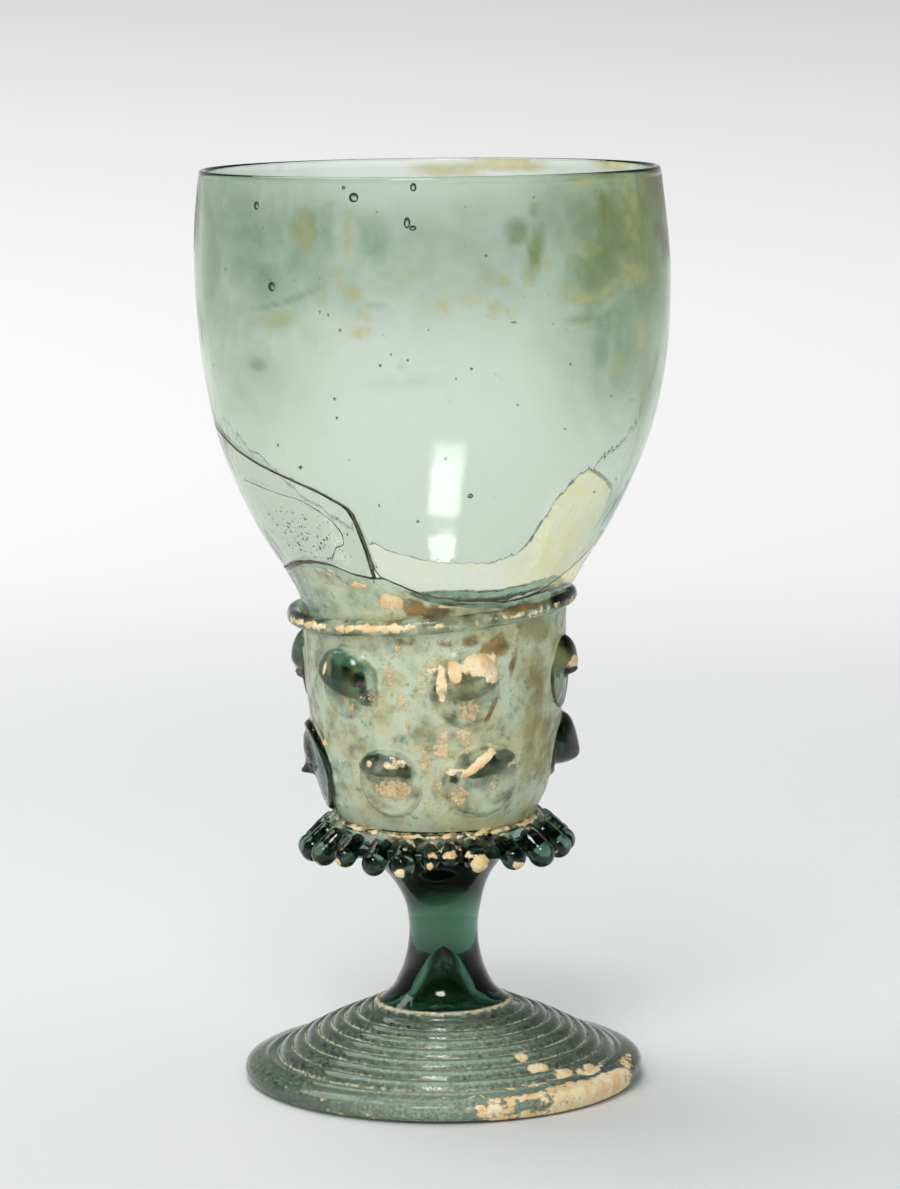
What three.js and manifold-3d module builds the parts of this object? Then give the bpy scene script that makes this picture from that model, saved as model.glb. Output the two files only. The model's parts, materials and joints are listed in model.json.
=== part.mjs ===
// Stemmed drinking glass of green forest glass: a rounded bowl on a hollow shank set with prunts,
// a pincered frill, a short solid stem and a wide conical foot wound with one glass thread.
// The bowl is broken: its large shard, a small side shard and two resin fills stand on the stump
// that is left above the shank.
//
// Millimetres, +Z up, the front of the glass towards -Y. The origin is on the ground, under the
// middle of the whole glass. Angles are measured from the front towards +X, in degrees.

import * as THREE from "three";
import { mergeVertices } from "three/addons/utils/BufferGeometryUtils.js";
import Module from "manifold-3d";

const wasm = await Module();
wasm.setup();

// Driving sizes of the whole glass
const RIM_HEIGHT = 165;
const FOOT_RADIUS = 36.15;
const FOOT_AXIS_X = 2.2;
const GAP = 0.3;

// The glass was joined a little out of true: everything above the stem leans to the left
const LEAN = THREE.MathUtils.degToRad(0.6);
const LEAN_HEIGHT = 46;
const STEM_BEND = -1.2;
const STEM_BEND_FROM = 21.9;

// Outline of shank and bowl: [height, outer radius]
const WALL_OUTLINE = [
  [48.5, 17.6],
  [52.5, 19.6],
  [60, 21.5],
  [71, 23.1],
  [82, 23.6],
  [88.5, 24.1],
  [93, 26.3],
  [100, 30.7],
  [108, 34.8],
  [118, 38.7],
  [130, 41.2],
  [143, 42.25],
  [154, 42.0],
  [165, 40.9],
];
const WALL_THICKNESS = [
  [48.5, 2.4],
  [70, 1.9],
  [88, 1.7],
  [100, 1.35],
  [RIM_HEIGHT, 1.2],
];

// Broken edges: [angle, height]
const BOWL_EDGE = [
  [-180, 91],
  [-156, 94],
  [-132, 103],
  [-108, 114],
  [-93, 119.5],
  [-78, 117],
  [-60, 114.5],
  [-36, 110.5],
  [-30, 108],
  [-24, 95.8],
  [-18, 95.3],
  [-6, 92.5],
  [6, 91],
  [30, 90],
  [42, 91],
  [54, 93],
  [66, 96],
  [78, 100.5],
  [84, 103.5],
  [90, 131],
  [96, 124],
  [102, 118],
  [120, 109.5],
  [126, 107.5],
  [132, 104],
  [138, 96],
  [144, 93],
  [156, 91.3],
  [180, 91],
];
const STUMP_EDGE = [
  [-180, 88.8],
  [-120, 92.5],
  [-72, 94.8],
  [-48, 97.2],
  [-36, 96.6],
  [-24, 95.3],
  [-18, 95],
  [-6, 92.2],
  [6, 90.7],
  [30, 89.7],
  [48, 90.7],
  [60, 91.2],
  [90, 90.4],
  [180, 88.8],
];
const SIDE_SHARD_BASE = [
  [84, 102.4],
  [96, 106],
  [120, 108.5],
];
const SIDE_SHARD_ENDS = [84, 120];
const FRONT_FILL_ENDS = [-149.5, -26];
const BACK_FILL_ENDS = [48, 209.5];
const COLUMN_STEP = 6;
const BOWL_ROWS = 8;
const FILL_ROWS = 3;
const RIM_ROUNDING = 0.5;
const RIM_BEVEL = 0.25;

// Shank: heights of its rows up to the neck, and its rounded floor
const SHANK_ROWS = [52.5, 60, 71, 82, 87];
const FLOOR_CURVE_STEPS = 3;
const FLOOR_TOP = 46.3;
const FLOOR_SPRING = 52.5;
const SEAT_HEIGHT = 42.3;
const SEAT_RADIUS = 12.6;

// Thread laid round the neck
const COLLAR_HEIGHT = 87.1;
const COLLAR_HALF_WIDTH = 0.95;
const COLLAR_HALF_HEIGHT = 1.4;
const COLLAR_RISE_TO_RIGHT = 1.31;
const COLLAR_DROP_TO_FRONT = 0.67;
const COLLAR_END_GAP = 3;
const COLLAR_STEPS = 44;
const COLLAR_SIDES = 8;

// Prunts: blobs laid on the shank and drawn down to a beak
const UPPER_PRUNTS = {
  name: "prunt_upper",
  height: 75.4,
  proud: 4.7,
  angles: [-41, 13.5, 74.5, 134.5, 194.5, 254.5],
};
const LOWER_PRUNTS = {
  name: "prunt_lower",
  height: 58.2,
  proud: 4.3,
  angles: [-23, 24, 87, 145, 205, 277],
};
const PRUNT_HALF_WIDTH = 6.1;
const PRUNT_HALF_HEIGHT = 7;
const PRUNT_SKIN = 0.45;
const PRUNT_SEAT = 0.4;
const PRUNT_DROOP = 0.09;
const HOOD_MIDDLE = 0.28;
const HOOD_HALF_WIDTH = 0.88;
const HOOD_HALF_HEIGHT = 0.72;
const HOOD_FULLNESS = 0.6;
const PRUNT_RINGS = [0, 0.3, 0.55, 0.76, 1];
const PRUNT_SECTORS = 12;

// Pincered frill: section of its band as [radius, height], and the drops pulled out of it
const FRILL_BAND = [
  [18.8, 49.9],
  [18.1, 48.5],
  [16.95, 44.6],
  [18.4, 43.9],
  [20.2, 44.7],
  [21.2, 46.6],
  [20.0, 49.4],
];
const KNOB_COUNT = 22;
const KNOB_RADIUS = 2.05;
const KNOB_NECK = 1.6;
const KNOB_TIP = new THREE.Vector2(22.9, 43.3);
const KNOB_ROOT = new THREE.Vector2(19.9, 48.6);
const KNOB_CROWDING = 5.6;
const KNOB_UNEVENNESS = 0.09;
const KNOB_RHYTHM = 2.4;
const KNOB_SIDES = 8;

// Stem and foot: the foot's cone falls from the stem to a thick rounded rim
const STEM_BOTTOM = 14.9;
const STEM_BOTTOM_RADIUS = 11.6;
const STEM_OUTLINE = [
  [16, 9.7],
  [17.5, 8.65],
  [21, 7.2],
  [25.9, 6.27],
  [30.5, 6.5],
  [34.3, 7.53],
  [37.6, 9.3],
  [40.2, 11.4],
];
const STEM_TOP_RADIUS = 12.4;
const KICK_MOUTH_RADIUS = 5.9;
const KICK_OUTLINE = [
  [22.5, 0],
  [20.8, 1.4],
  [17.4, 3.4],
  [STEM_BOTTOM, KICK_MOUTH_RADIUS],
];
const CONE_TOP = 14.6;
const CONE_FALL = 0.485;
const RECESS = 1.5;
const PLATE_THICKNESS = 2;
const UNDERSIDE_RADII = [12, 21, 29.6];
const RIM_SECTION = [
  [31.2, 0],
  [33.6, 0],
  [35.2, 0.7],
  [FOOT_RADIUS, 2.3],
  [35.8, 3.6],
  [34.2, 4.5],
];
const SHOULDER_RADIUS = 32;
const SHOULDER_WIDTH = 0.8;
const SHOULDER_RISE = 1.2;
const BAND_STEPS = 44;
const STEM_STEPS = 36;
const FOOT_STEPS = 48;

// Glass thread wound on the foot
const WINDING_START_RADIUS = 13.4;
const WINDING_END_RADIUS = 30.4;
const WINDING_TURNS = 7;
const WINDING_HALF_WIDTH = 0.98;
const WINDING_HALF_HEIGHT = 0.62;
const WINDING_STEPS_PER_TURN = 24;
const WINDING_SIDES = 6;
const WINDING_START_ANGLE = 150;

const DEGREE = Math.PI / 180;

// Finishes read from the photograph
const clearGreen = { color: 0xa9c0ac, roughness: 0.08, metalness: 0 };
const deepGreen = { color: 0x2f5a49, roughness: 0.1, metalness: 0 };
const footGreen = { color: 0x5c7a5c, roughness: 0.15, metalness: 0 };
const clearResin = { color: 0xc8d0c2, roughness: 0.3, metalness: 0 };
const yellowResin = { color: 0xe6e2b6, roughness: 0.35, metalness: 0 };

// Straight interpolation through [x, y] points in rising x
function straightThrough(points) {
  return (x) => {
    const last = points.length - 1;
    if (x <= points[0][0]) return points[0][1];
    if (x >= points[last][0]) return points[last][1];
    const i = points.findIndex((point) => point[0] > x) - 1;
    const t = (x - points[i][0]) / (points[i + 1][0] - points[i][0]);
    return THREE.MathUtils.lerp(points[i][1], points[i + 1][1], t);
  };
}

// Smooth interpolation: the slope at each point is that between its neighbours
function smoothThrough(points) {
  const slopes = points.map((point, i) => {
    const before = points[Math.max(i - 1, 0)];
    const after = points[Math.min(i + 1, points.length - 1)];
    return (after[1] - before[1]) / (after[0] - before[0]);
  });
  return (x) => {
    const next = points.findIndex((point) => point[0] > x);
    const i = next < 0 ? points.length - 2 : Math.max(next - 1, 0);
    const span = points[i + 1][0] - points[i][0];
    const t = THREE.MathUtils.clamp((x - points[i][0]) / span, 0, 1);
    const stay = 2 * t ** 3 - 3 * t ** 2 + 1;
    const startPull = (t ** 3 - 2 * t ** 2 + t) * span * slopes[i];
    const endPull = (t ** 3 - t ** 2) * span * slopes[i + 1];
    return stay * points[i][1] + (1 - stay) * points[i + 1][1] + startPull + endPull;
  };
}

const outerRadius = smoothThrough(WALL_OUTLINE);
const wallThickness = smoothThrough(WALL_THICKNESS);
const bowlEdge = straightThrough(BOWL_EDGE);
const stumpEdge = straightThrough(STUMP_EDGE);
const sideShardBase = straightThrough(SIDE_SHARD_BASE);

// The inner face stands off the outer one by the wall's thickness, measured square to the wall
function innerRadius(height) {
  const rise = 1;
  const slope = (outerRadius(height + rise / 2) - outerRadius(height - rise / 2)) / rise;
  return outerRadius(height) - wallThickness(height) * Math.hypot(1, slope);
}

function onCircle(angle, radius, height) {
  return new THREE.Vector3(
    radius * Math.sin(angle * DEGREE),
    -radius * Math.cos(angle * DEGREE),
    height,
  );
}

function turnsFrom(angle) {
  return THREE.MathUtils.euclideanModulo(angle + 180, 360) - 180;
}

// Closed body over a row of rings that all have the same count of points. Points that fall together
// become one, so a ring drawn in to a point closes the body there. Open ends are closed across.
function skin(rings, joined) {
  const positions = [];
  const known = new Map();
  const indexOf = (point) => {
    const key = point.toArray().map((value) => value.toFixed(5)).join();
    if (!known.has(key)) {
      known.set(key, positions.length / 3);
      positions.push(...point.toArray());
    }
    return known.get(key);
  };
  const grid = rings.map((ring) => ring.map(indexOf));
  const triangles = [];
  const addTriangle = (a, b, c) => {
    if (a !== b && b !== c && a !== c) triangles.push(a, b, c);
  };
  const addQuad = (a, b, c, d) => {
    addTriangle(a, b, c);
    addTriangle(a, c, d);
  };
  const sides = grid[0].length;
  const spans = joined ? grid.length : grid.length - 1;
  for (let i = 0; i < spans; i++) {
    const here = grid[i];
    const there = grid[(i + 1) % grid.length];
    for (let j = 0; j < sides; j++) {
      const next = (j + 1) % sides;
      addQuad(here[j], here[next], there[next], there[j]);
    }
  }
  if (!joined) {
    const first = grid[0];
    const last = grid[grid.length - 1];
    for (let j = 0; j < sides / 2 - 1; j++) {
      const across = sides - 1 - j;
      addQuad(first[j], first[across], first[across - 1], first[j + 1]);
      addQuad(last[j], last[j + 1], last[across - 1], last[across]);
    }
  }
  const geometry = new THREE.BufferGeometry();
  geometry.setAttribute("position", new THREE.Float32BufferAttribute(positions, 3));
  geometry.setIndex(facingOut(positions, triangles));
  return geometry;
}

// The corner order is reversed where the rings were given the other way round
function facingOut(positions, triangles) {
  const corner = (index) => new THREE.Vector3().fromArray(positions, 3 * index);
  let volume = 0;
  for (let i = 0; i < triangles.length; i += 3) {
    const [a, b, c] = triangles.slice(i, i + 3).map(corner);
    volume += a.dot(b.cross(c));
  }
  return volume < 0 ? triangles.reverse() : triangles;
}

function turned(profile, segments) {
  const points = profile.map(([radius, height]) => new THREE.Vector2(radius, height));
  return new THREE.LatheGeometry(points, segments).rotateX(Math.PI / 2);
}

function toSolid(geometry) {
  const bare = geometry.clone();
  deleteAttribute(bare, "normal");
  deleteAttribute(bare, "uv");
  const merged = mergeVertices(bare, 1e-4);
  const solid = new wasm.Mesh({
    numProp: 3,
    vertProperties: new Float32Array(merged.attributes.position.array),
    triVerts: new Uint32Array(merged.index.array),
  });
  solid.merge();
  return new wasm.Manifold(solid);
}

function fromSolid(solid) {
  const mesh = solid.getMesh();
  const geometry = new THREE.BufferGeometry();
  geometry.setAttribute("position", new THREE.BufferAttribute(mesh.vertProperties, 3));
  geometry.setIndex(new THREE.BufferAttribute(mesh.triVerts, 1));
  return geometry;
}

function deleteAttribute(geometry, name) {
  if (geometry.hasAttribute(name)) geometry.deleteAttribute(name);
}

// Piece of the bowl's wall between two edges
function wallLoop(angle, low, high, rows, roundedTop) {
  const outer = [];
  const inner = [];
  const top = roundedTop ? high - RIM_ROUNDING : high;
  for (let row = 0; row <= rows; row++) {
    const height = THREE.MathUtils.lerp(low, top, row / rows);
    outer.push(onCircle(angle, outerRadius(height), height));
    inner.unshift(onCircle(angle, innerRadius(height), height));
  }
  if (roundedTop) {
    const thickness = outerRadius(high) - innerRadius(high);
    outer.push(onCircle(angle, outerRadius(high) - RIM_BEVEL * thickness, high));
    inner.unshift(onCircle(angle, innerRadius(high) + RIM_BEVEL * thickness, high));
  }
  return [...outer, ...inner];
}

function columnsBetween([start, end]) {
  const angles = [start];
  const firstWhole = (Math.floor(start / COLUMN_STEP) + 1) * COLUMN_STEP;
  for (let angle = firstWhole; angle < end - 1; angle += COLUMN_STEP) angles.push(angle);
  angles.push(end);
  return angles;
}

// Steep stretches of an edge keep their gap sideways too
function clearBelow(edge, angle) {
  const beside = [angle - 1, angle, angle + 1].map((near) => edge(turnsFrom(near)));
  return Math.min(...beside) - GAP;
}

function bowlShard() {
  const rings = [];
  for (let angle = -180; angle < 180; angle += COLUMN_STEP) {
    rings.push(wallLoop(angle, bowlEdge(angle), RIM_HEIGHT, BOWL_ROWS, true));
  }
  return skin(rings, true);
}

function sideShard() {
  const rings = columnsBetween(SIDE_SHARD_ENDS).map((angle) =>
    wallLoop(angle, sideShardBase(angle), clearBelow(bowlEdge, angle), FILL_ROWS, false));
  return skin(rings, false);
}

function resinFill(ends) {
  const rings = columnsBetween(ends).map((angle) => {
    const underShard = angle >= SIDE_SHARD_ENDS[0] && angle <= SIDE_SHARD_ENDS[1];
    const upper = underShard ? clearBelow(sideShardBase, angle) : clearBelow(bowlEdge, angle);
    return wallLoop(angle, stumpEdge(turnsFrom(angle)) + GAP, upper, FILL_ROWS, false);
  });
  return skin(rings, false);
}

// Hollow shank with its rounded floor, up to the broken stump of the bowl
function shankLoop(angle) {
  const loop = [onCircle(angle, 0, SEAT_HEIGHT)];
  const [baseHeight, baseRadius] = WALL_OUTLINE[0];
  for (let step = 0; step <= FLOOR_CURVE_STEPS; step++) {
    const turn = (1 - step / FLOOR_CURVE_STEPS) * Math.PI / 2;
    const radius = SEAT_RADIUS + (baseRadius - SEAT_RADIUS) * Math.cos(turn);
    const height = baseHeight - (baseHeight - SEAT_HEIGHT) * Math.sin(turn);
    loop.push(onCircle(angle, radius, height));
  }
  for (const height of SHANK_ROWS) loop.push(onCircle(angle, outerRadius(height), height));
  const top = stumpEdge(angle);
  loop.push(onCircle(angle, outerRadius(top), top));
  loop.push(onCircle(angle, innerRadius(top), top));
  for (const height of SHANK_ROWS.slice(1).reverse()) {
    loop.push(onCircle(angle, innerRadius(height), height));
  }
  const floorRadius = innerRadius(FLOOR_SPRING);
  for (let step = 0; step < FLOOR_CURVE_STEPS; step++) {
    const turn = step / FLOOR_CURVE_STEPS * Math.PI / 2;
    const height = FLOOR_SPRING - (FLOOR_SPRING - FLOOR_TOP) * Math.sin(turn);
    loop.push(onCircle(angle, floorRadius * Math.cos(turn), height));
  }
  loop.push(onCircle(angle, 0, FLOOR_TOP));
  return loop;
}

function shank() {
  const rings = [];
  for (let angle = -180; angle < 180; angle += COLUMN_STEP) rings.push(shankLoop(angle));
  return skin(rings, true);
}

// Thread laid once round the neck, its two ends meeting at the back
function collarThread() {
  const rings = [];
  const reach = 180 - COLLAR_END_GAP / 2;
  for (let step = 0; step <= COLLAR_STEPS; step++) {
    const angle = THREE.MathUtils.lerp(-reach, reach, step / COLLAR_STEPS);
    const height = COLLAR_HEIGHT + COLLAR_RISE_TO_RIGHT * Math.sin(angle * DEGREE)
      - COLLAR_DROP_TO_FRONT * Math.cos(angle * DEGREE);
    const middle = outerRadius(height + COLLAR_HALF_HEIGHT) + GAP + COLLAR_HALF_WIDTH;
    const section = [];
    for (let side = 0; side < COLLAR_SIDES; side++) {
      const turn = (side + 0.5) / COLLAR_SIDES * 2 * Math.PI;
      const level = height + COLLAR_HALF_HEIGHT * Math.sin(turn);
      section.push(onCircle(angle, middle + COLLAR_HALF_WIDTH * Math.cos(turn), level));
    }
    rings.push(section);
  }
  reportLeastGap("collar_thread", rings, COLLAR_STEPS / 2);
  return skin(rings, false);
}

// How far a prunt stands out at u across and v up, both -1 to 1: a domed hood in the upper part,
// over a thin disc
function pruntHeight(u, v) {
  const across = u / HOOD_HALF_WIDTH;
  const along = (v - HOOD_MIDDLE) / HOOD_HALF_HEIGHT;
  return Math.max(0, 1 - across ** 2 - along ** 2) ** HOOD_FULLNESS;
}

function prunt(centreAngle, centreHeight, proud) {
  const pointAt = (ring, sector, onSkin) => {
    const turn = sector / PRUNT_SECTORS * 2 * Math.PI;
    const u = ring * Math.sin(turn);
    const v = (1 - ring) * HOOD_MIDDLE + ring * Math.cos(turn);
    const rise = onSkin ? PRUNT_SKIN + proud * pruntHeight(u, v) : 0;
    const height = centreHeight + v * PRUNT_HALF_HEIGHT;
    const seat = outerRadius(height) + PRUNT_SEAT;
    const angle = centreAngle + u * PRUNT_HALF_WIDTH / seat / DEGREE;
    return onCircle(angle, seat + rise, height - PRUNT_DROOP * rise ** 2);
  };
  const ringAt = (ring, onSkin) => Array.from({ length: PRUNT_SECTORS }, (_, sector) =>
    pointAt(ring, sector, onSkin));
  const hood = PRUNT_RINGS.map((ring) => ringAt(ring, true));
  const back = [1, 0.5, 0].map((ring) => ringAt(ring, false));
  return skin([...hood, ...back], false);
}

// Pincered frill: a band under the shank, pulled out into drops with rounded tips
function frill() {
  let whole = toSolid(turned([...FRILL_BAND, FRILL_BAND[0]], BAND_STEPS));
  const reach = KNOB_ROOT.distanceTo(KNOB_TIP);
  const fall = Math.atan2(KNOB_ROOT.x - KNOB_TIP.x, KNOB_ROOT.y - KNOB_TIP.y);
  for (let knob = 0; knob < KNOB_COUNT; knob++) {
    const even = 360 * knob / KNOB_COUNT;
    const angle = even + KNOB_CROWDING * (1 - Math.cos(even * DEGREE));
    const size = 1 + KNOB_UNEVENNESS * Math.sin(knob * KNOB_RHYTHM);
    const drop = turned([
      [0, -KNOB_RADIUS],
      [0.71 * KNOB_RADIUS, -0.71 * KNOB_RADIUS],
      [KNOB_RADIUS, 0],
      [0.85 * KNOB_RADIUS, 0.7 * KNOB_RADIUS],
      [KNOB_NECK, reach * 0.6],
      [0.7 * KNOB_NECK, reach],
      [0, reach],
    ], KNOB_SIDES);
    drop.scale(size, size, 1).rotateY(fall).translate(KNOB_TIP.x, 0, KNOB_TIP.y);
    drop.rotateZ((angle - 90) * DEGREE);
    whole = whole.add(toSolid(drop));
  }
  return fromSolid(whole);
}

// Waisted solid stem over the pointed kick that was pushed up from under the foot
function stem() {
  const top = SEAT_HEIGHT - GAP;
  const geometry = turned([
    ...KICK_OUTLINE.map(([height, radius]) => [radius, height]),
    [STEM_BOTTOM_RADIUS, STEM_BOTTOM],
    ...STEM_OUTLINE.map(([height, radius]) => [radius, height]),
    [STEM_TOP_RADIUS, top],
    [0, top],
  ], STEM_STEPS);
  const points = geometry.attributes.position;
  for (let i = 0; i < points.count; i++) {
    const rise = THREE.MathUtils.smoothstep(points.getZ(i), STEM_BEND_FROM, top);
    points.setX(i, points.getX(i) + STEM_BEND * rise);
  }
  return geometry;
}

// Upper face of the foot's plate, under the thread
function plateTop(radius) {
  return CONE_TOP - RECESS - CONE_FALL * (radius - STEM_BOTTOM_RADIUS);
}

// Conical foot: a plate with a smooth thick rim, a flat ring to rest on and the mouth of the kick
function foot() {
  const underside = (radius) => plateTop(radius) - PLATE_THICKNESS;
  const shoulder = plateTop(SHOULDER_RADIUS);
  return turned([
    [KICK_MOUTH_RADIUS, CONE_TOP],
    ...UNDERSIDE_RADII.map((radius) => [radius, underside(radius)]),
    ...RIM_SECTION,
    [SHOULDER_RADIUS + SHOULDER_WIDTH, shoulder + SHOULDER_RISE],
    [SHOULDER_RADIUS, shoulder],
    [STEM_BOTTOM_RADIUS, plateTop(STEM_BOTTOM_RADIUS)],
    [STEM_BOTTOM_RADIUS, CONE_TOP],
    [KICK_MOUTH_RADIUS, CONE_TOP],
  ], FOOT_STEPS);
}

// One unbroken glass thread wound outwards on the foot's cone
function footThread() {
  const steps = WINDING_TURNS * WINDING_STEPS_PER_TURN;
  const tilt = Math.atan(CONE_FALL);
  const centres = [];
  for (let step = 0; step <= steps; step++) {
    const radius = THREE.MathUtils.lerp(WINDING_START_RADIUS, WINDING_END_RADIUS, step / steps);
    const lift = (GAP + WINDING_HALF_HEIGHT) / Math.cos(tilt);
    const angle = WINDING_START_ANGLE + 360 * step / WINDING_STEPS_PER_TURN;
    centres.push(onCircle(angle, radius, plateTop(radius) + lift));
  }
  const straight = 2 * WINDING_HALF_WIDTH;
  const lastRun = centres[steps].clone().sub(centres[steps - 1]).setZ(0).setLength(straight);
  centres.push(centres[steps].clone().add(lastRun));
  const rings = centres.map((centre, i) => {
    const before = centres[Math.max(i - 1, 0)];
    const after = centres[Math.min(i + 1, centres.length - 1)];
    const along = after.clone().sub(before).normalize();
    const outward = new THREE.Vector3(centre.x, centre.y, 0).normalize();
    const across = outward.multiplyScalar(Math.cos(tilt)).setZ(-Math.sin(tilt));
    across.addScaledVector(along, -across.dot(along)).normalize();
    const up = across.clone().cross(along).normalize();
    return Array.from({ length: WINDING_SIDES }, (_, side) => {
      const turn = side / WINDING_SIDES * 2 * Math.PI;
      return centre.clone()
        .addScaledVector(across, WINDING_HALF_WIDTH * Math.cos(turn))
        .addScaledVector(up, WINDING_HALF_HEIGHT * Math.sin(turn));
    });
  });
  reportLeastGap("foot_thread", rings, WINDING_STEPS_PER_TURN / 2);
  return skin(rings, false);
}

function reportLeastGap(name, rings, apart) {
  let least = Infinity;
  for (let i = 0; i < rings.length; i++) {
    for (let j = i + apart; j < rings.length; j++) {
      for (const here of rings[i]) {
        for (const there of rings[j]) least = Math.min(least, here.distanceTo(there));
      }
    }
  }
  console.log(`${name}: least gap to itself ${least.toFixed(2)} mm`);
}

function addPiece(group, name, geometry, finish) {
  const mesh = new THREE.Mesh(geometry, new THREE.MeshStandardMaterial(finish));
  mesh.name = name;
  group.add(mesh);
  return mesh;
}

// The foot and the stem stand upright
const glass = new THREE.Group();
const base = new THREE.Group();
base.position.x = FOOT_AXIS_X;
glass.add(base);
addPiece(base, "foot", foot(), footGreen);
addPiece(base, "foot_thread", footThread(), footGreen);
addPiece(base, "stem", stem(), deepGreen);

// Shank, bowl and everything laid on them lean together
const leaning = new THREE.Group();
leaning.position.set(FOOT_AXIS_X + STEM_BEND, 0, LEAN_HEIGHT);
leaning.rotation.y = -LEAN;
glass.add(leaning);
const upper = new THREE.Group();
upper.position.z = -LEAN_HEIGHT;
leaning.add(upper);

addPiece(upper, "shank", shank(), clearGreen);
addPiece(upper, "frill", frill(), deepGreen);
addPiece(upper, "collar_thread", collarThread(), deepGreen);
for (const row of [UPPER_PRUNTS, LOWER_PRUNTS]) {
  row.angles.forEach((angle, place) => {
    const blob = prunt(angle, row.height, row.proud);
    addPiece(upper, `${row.name}_${place + 1}`, blob, deepGreen);
  });
}
addPiece(upper, "bowl", bowlShard(), clearGreen);
addPiece(upper, "bowl_shard_side", sideShard(), clearGreen);
addPiece(upper, "bowl_fill_front", resinFill(FRONT_FILL_ENDS), clearResin);
addPiece(upper, "bowl_fill_back", resinFill(BACK_FILL_ENDS), yellowResin);

export default glass;
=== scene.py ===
"""Green forest-glass goblet, broken and mended, standing on a pale studio floor.

The hot-worked lower part (shank, neck thread, prunts, frill, stem and wound foot) is one fused body of
glass, so it is modelled as one skin. The bowl's two shards and the two resin fills are bodies of their
own, joined by seams of aged adhesive. Crusts and films of weathering lie on the glass as thin flakes.
Some films are painted shade: at the bowl's outline, on thick glass seen edge on, and in the kick. One is a
painted sheen on the foot's ridges.

Sizes inside the classes are in millimetres. Angles are in degrees from the front towards +X.
"""

import json
import logging
import random
from collections.abc import Callable, Iterable, Sequence
from dataclasses import dataclass, field
from enum import Enum
from math import asin, atan2, cos, degrees, exp, hypot, pi, radians, sin, tan

import bmesh
import bpy
from mathutils import Matrix, Vector, noise

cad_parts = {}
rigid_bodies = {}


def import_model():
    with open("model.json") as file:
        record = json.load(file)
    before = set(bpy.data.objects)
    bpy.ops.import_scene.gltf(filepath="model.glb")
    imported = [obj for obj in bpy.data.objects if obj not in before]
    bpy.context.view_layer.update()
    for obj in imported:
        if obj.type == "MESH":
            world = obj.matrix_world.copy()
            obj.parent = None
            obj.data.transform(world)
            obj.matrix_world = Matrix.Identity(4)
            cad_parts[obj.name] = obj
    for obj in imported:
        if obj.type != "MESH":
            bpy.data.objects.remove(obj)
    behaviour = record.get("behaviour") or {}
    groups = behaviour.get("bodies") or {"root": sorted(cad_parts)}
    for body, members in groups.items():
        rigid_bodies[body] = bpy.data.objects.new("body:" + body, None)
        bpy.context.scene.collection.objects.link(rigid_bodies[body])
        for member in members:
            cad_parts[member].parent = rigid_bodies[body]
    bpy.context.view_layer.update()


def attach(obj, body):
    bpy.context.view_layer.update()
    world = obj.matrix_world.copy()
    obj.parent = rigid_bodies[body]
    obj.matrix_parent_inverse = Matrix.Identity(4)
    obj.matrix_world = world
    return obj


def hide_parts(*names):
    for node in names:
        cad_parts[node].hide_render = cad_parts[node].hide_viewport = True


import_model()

MM = 0.001
log = logging.getLogger("goblet")

Mesh = bpy.types.Mesh
Piece = bpy.types.Object
Material = bpy.types.Material
Node = bpy.types.Node
Socket = bpy.types.NodeSocket
Pair = tuple[float, float]
Colour = tuple[float, float, float]


# Curves and numbers


def clamp(value: float, low: float = 0.0, high: float = 1.0) -> float:
    """Value held between low and high."""
    return max(low, min(high, value))


def mix(start: float, end: float, share: float) -> float:
    """Value at that share of the way from start to end."""
    return start + (end - start) * share


def ease(low: float, high: float, value: float) -> float:
    """Soft step from 0 at low to 1 at high."""
    share = clamp((value - low) / (high - low))
    return share * share * (3 - 2 * share)


def bell(value: float, middle: float, width: float) -> float:
    """Soft bump of height 1 at middle that ends width away on either side."""
    return ease(0, 1, 1 - abs(value - middle) / width)


def turn_back(angle: float) -> float:
    """Angle brought between -180 and 180 degrees."""
    return (angle + 180) % 360 - 180


def smooth_curve(points: Sequence[Pair]) -> Callable[[float], float]:
    """Smooth curve through points in rising x, level past its ends.

    Args:
        points: the (x, y) pairs to pass through.

    Returns:
        The function from x to y.
    """
    last = len(points) - 1

    def slope(i: int) -> float:
        """Slope at a point, from its neighbours."""
        before, after = points[max(i - 1, 0)], points[min(i + 1, last)]
        return (after[1] - before[1]) / (after[0] - before[0])

    def curve(x: float) -> float:
        """Height of the curve.

        Args:
            x: how far along it.

        Returns:
            The y there.
        """
        if x <= points[0][0]:
            return points[0][1]
        if x >= points[last][0]:
            return points[last][1]
        i = next(k for k in range(last) if points[k + 1][0] >= x)
        span = points[i + 1][0] - points[i][0]
        t = (x - points[i][0]) / span
        stay = 2 * t**3 - 3 * t**2 + 1
        pull = (t**3 - 2 * t**2 + t) * span * slope(i) + (t**3 - t**2) * span * slope(i + 1)
        return stay * points[i][1] + (1 - stay) * points[i + 1][1] + pull

    return curve


def smooth_path(points: Sequence[Pair], step: float) -> list[Pair]:
    """Points about one step apart along a smooth line through the given ones.

    Args:
        points: the pairs to pass through, in order along the line.
        step: the wanted distance between neighbours.

    Returns:
        The finer row of points, both ends included.
    """
    fine: list[Pair] = []
    last = len(points) - 1
    for i in range(last):
        a, b = Vector(points[max(i - 1, 0)]), Vector(points[i])
        c, d = Vector(points[i + 1]), Vector(points[min(i + 2, last)])
        span = (c - b).length
        leave = (c - a).normalized() * span if i > 0 else c - b
        arrive = (d - b).normalized() * span if i + 2 <= last else c - b
        count = max(1, round(span / step))
        for k in range(count):
            t = k / count
            p = (2 * t**3 - 3 * t**2 + 1) * b + (t**3 - 2 * t**2 + t) * leave
            p += (3 * t**2 - 2 * t**3) * c + (t**3 - t**2) * arrive
            fine.append((p.x, p.y))
    fine.append(tuple(points[last]))
    return fine


def ripple(seed: float, angle: float, height: float, scale: float) -> float:
    """Even random swell on the round glass, from -1 to 1, that joins up all the way round."""
    turn = radians(angle)
    return noise.noise(Vector((sin(turn) * scale + seed, cos(turn) * scale, height / 20 * scale)))


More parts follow.
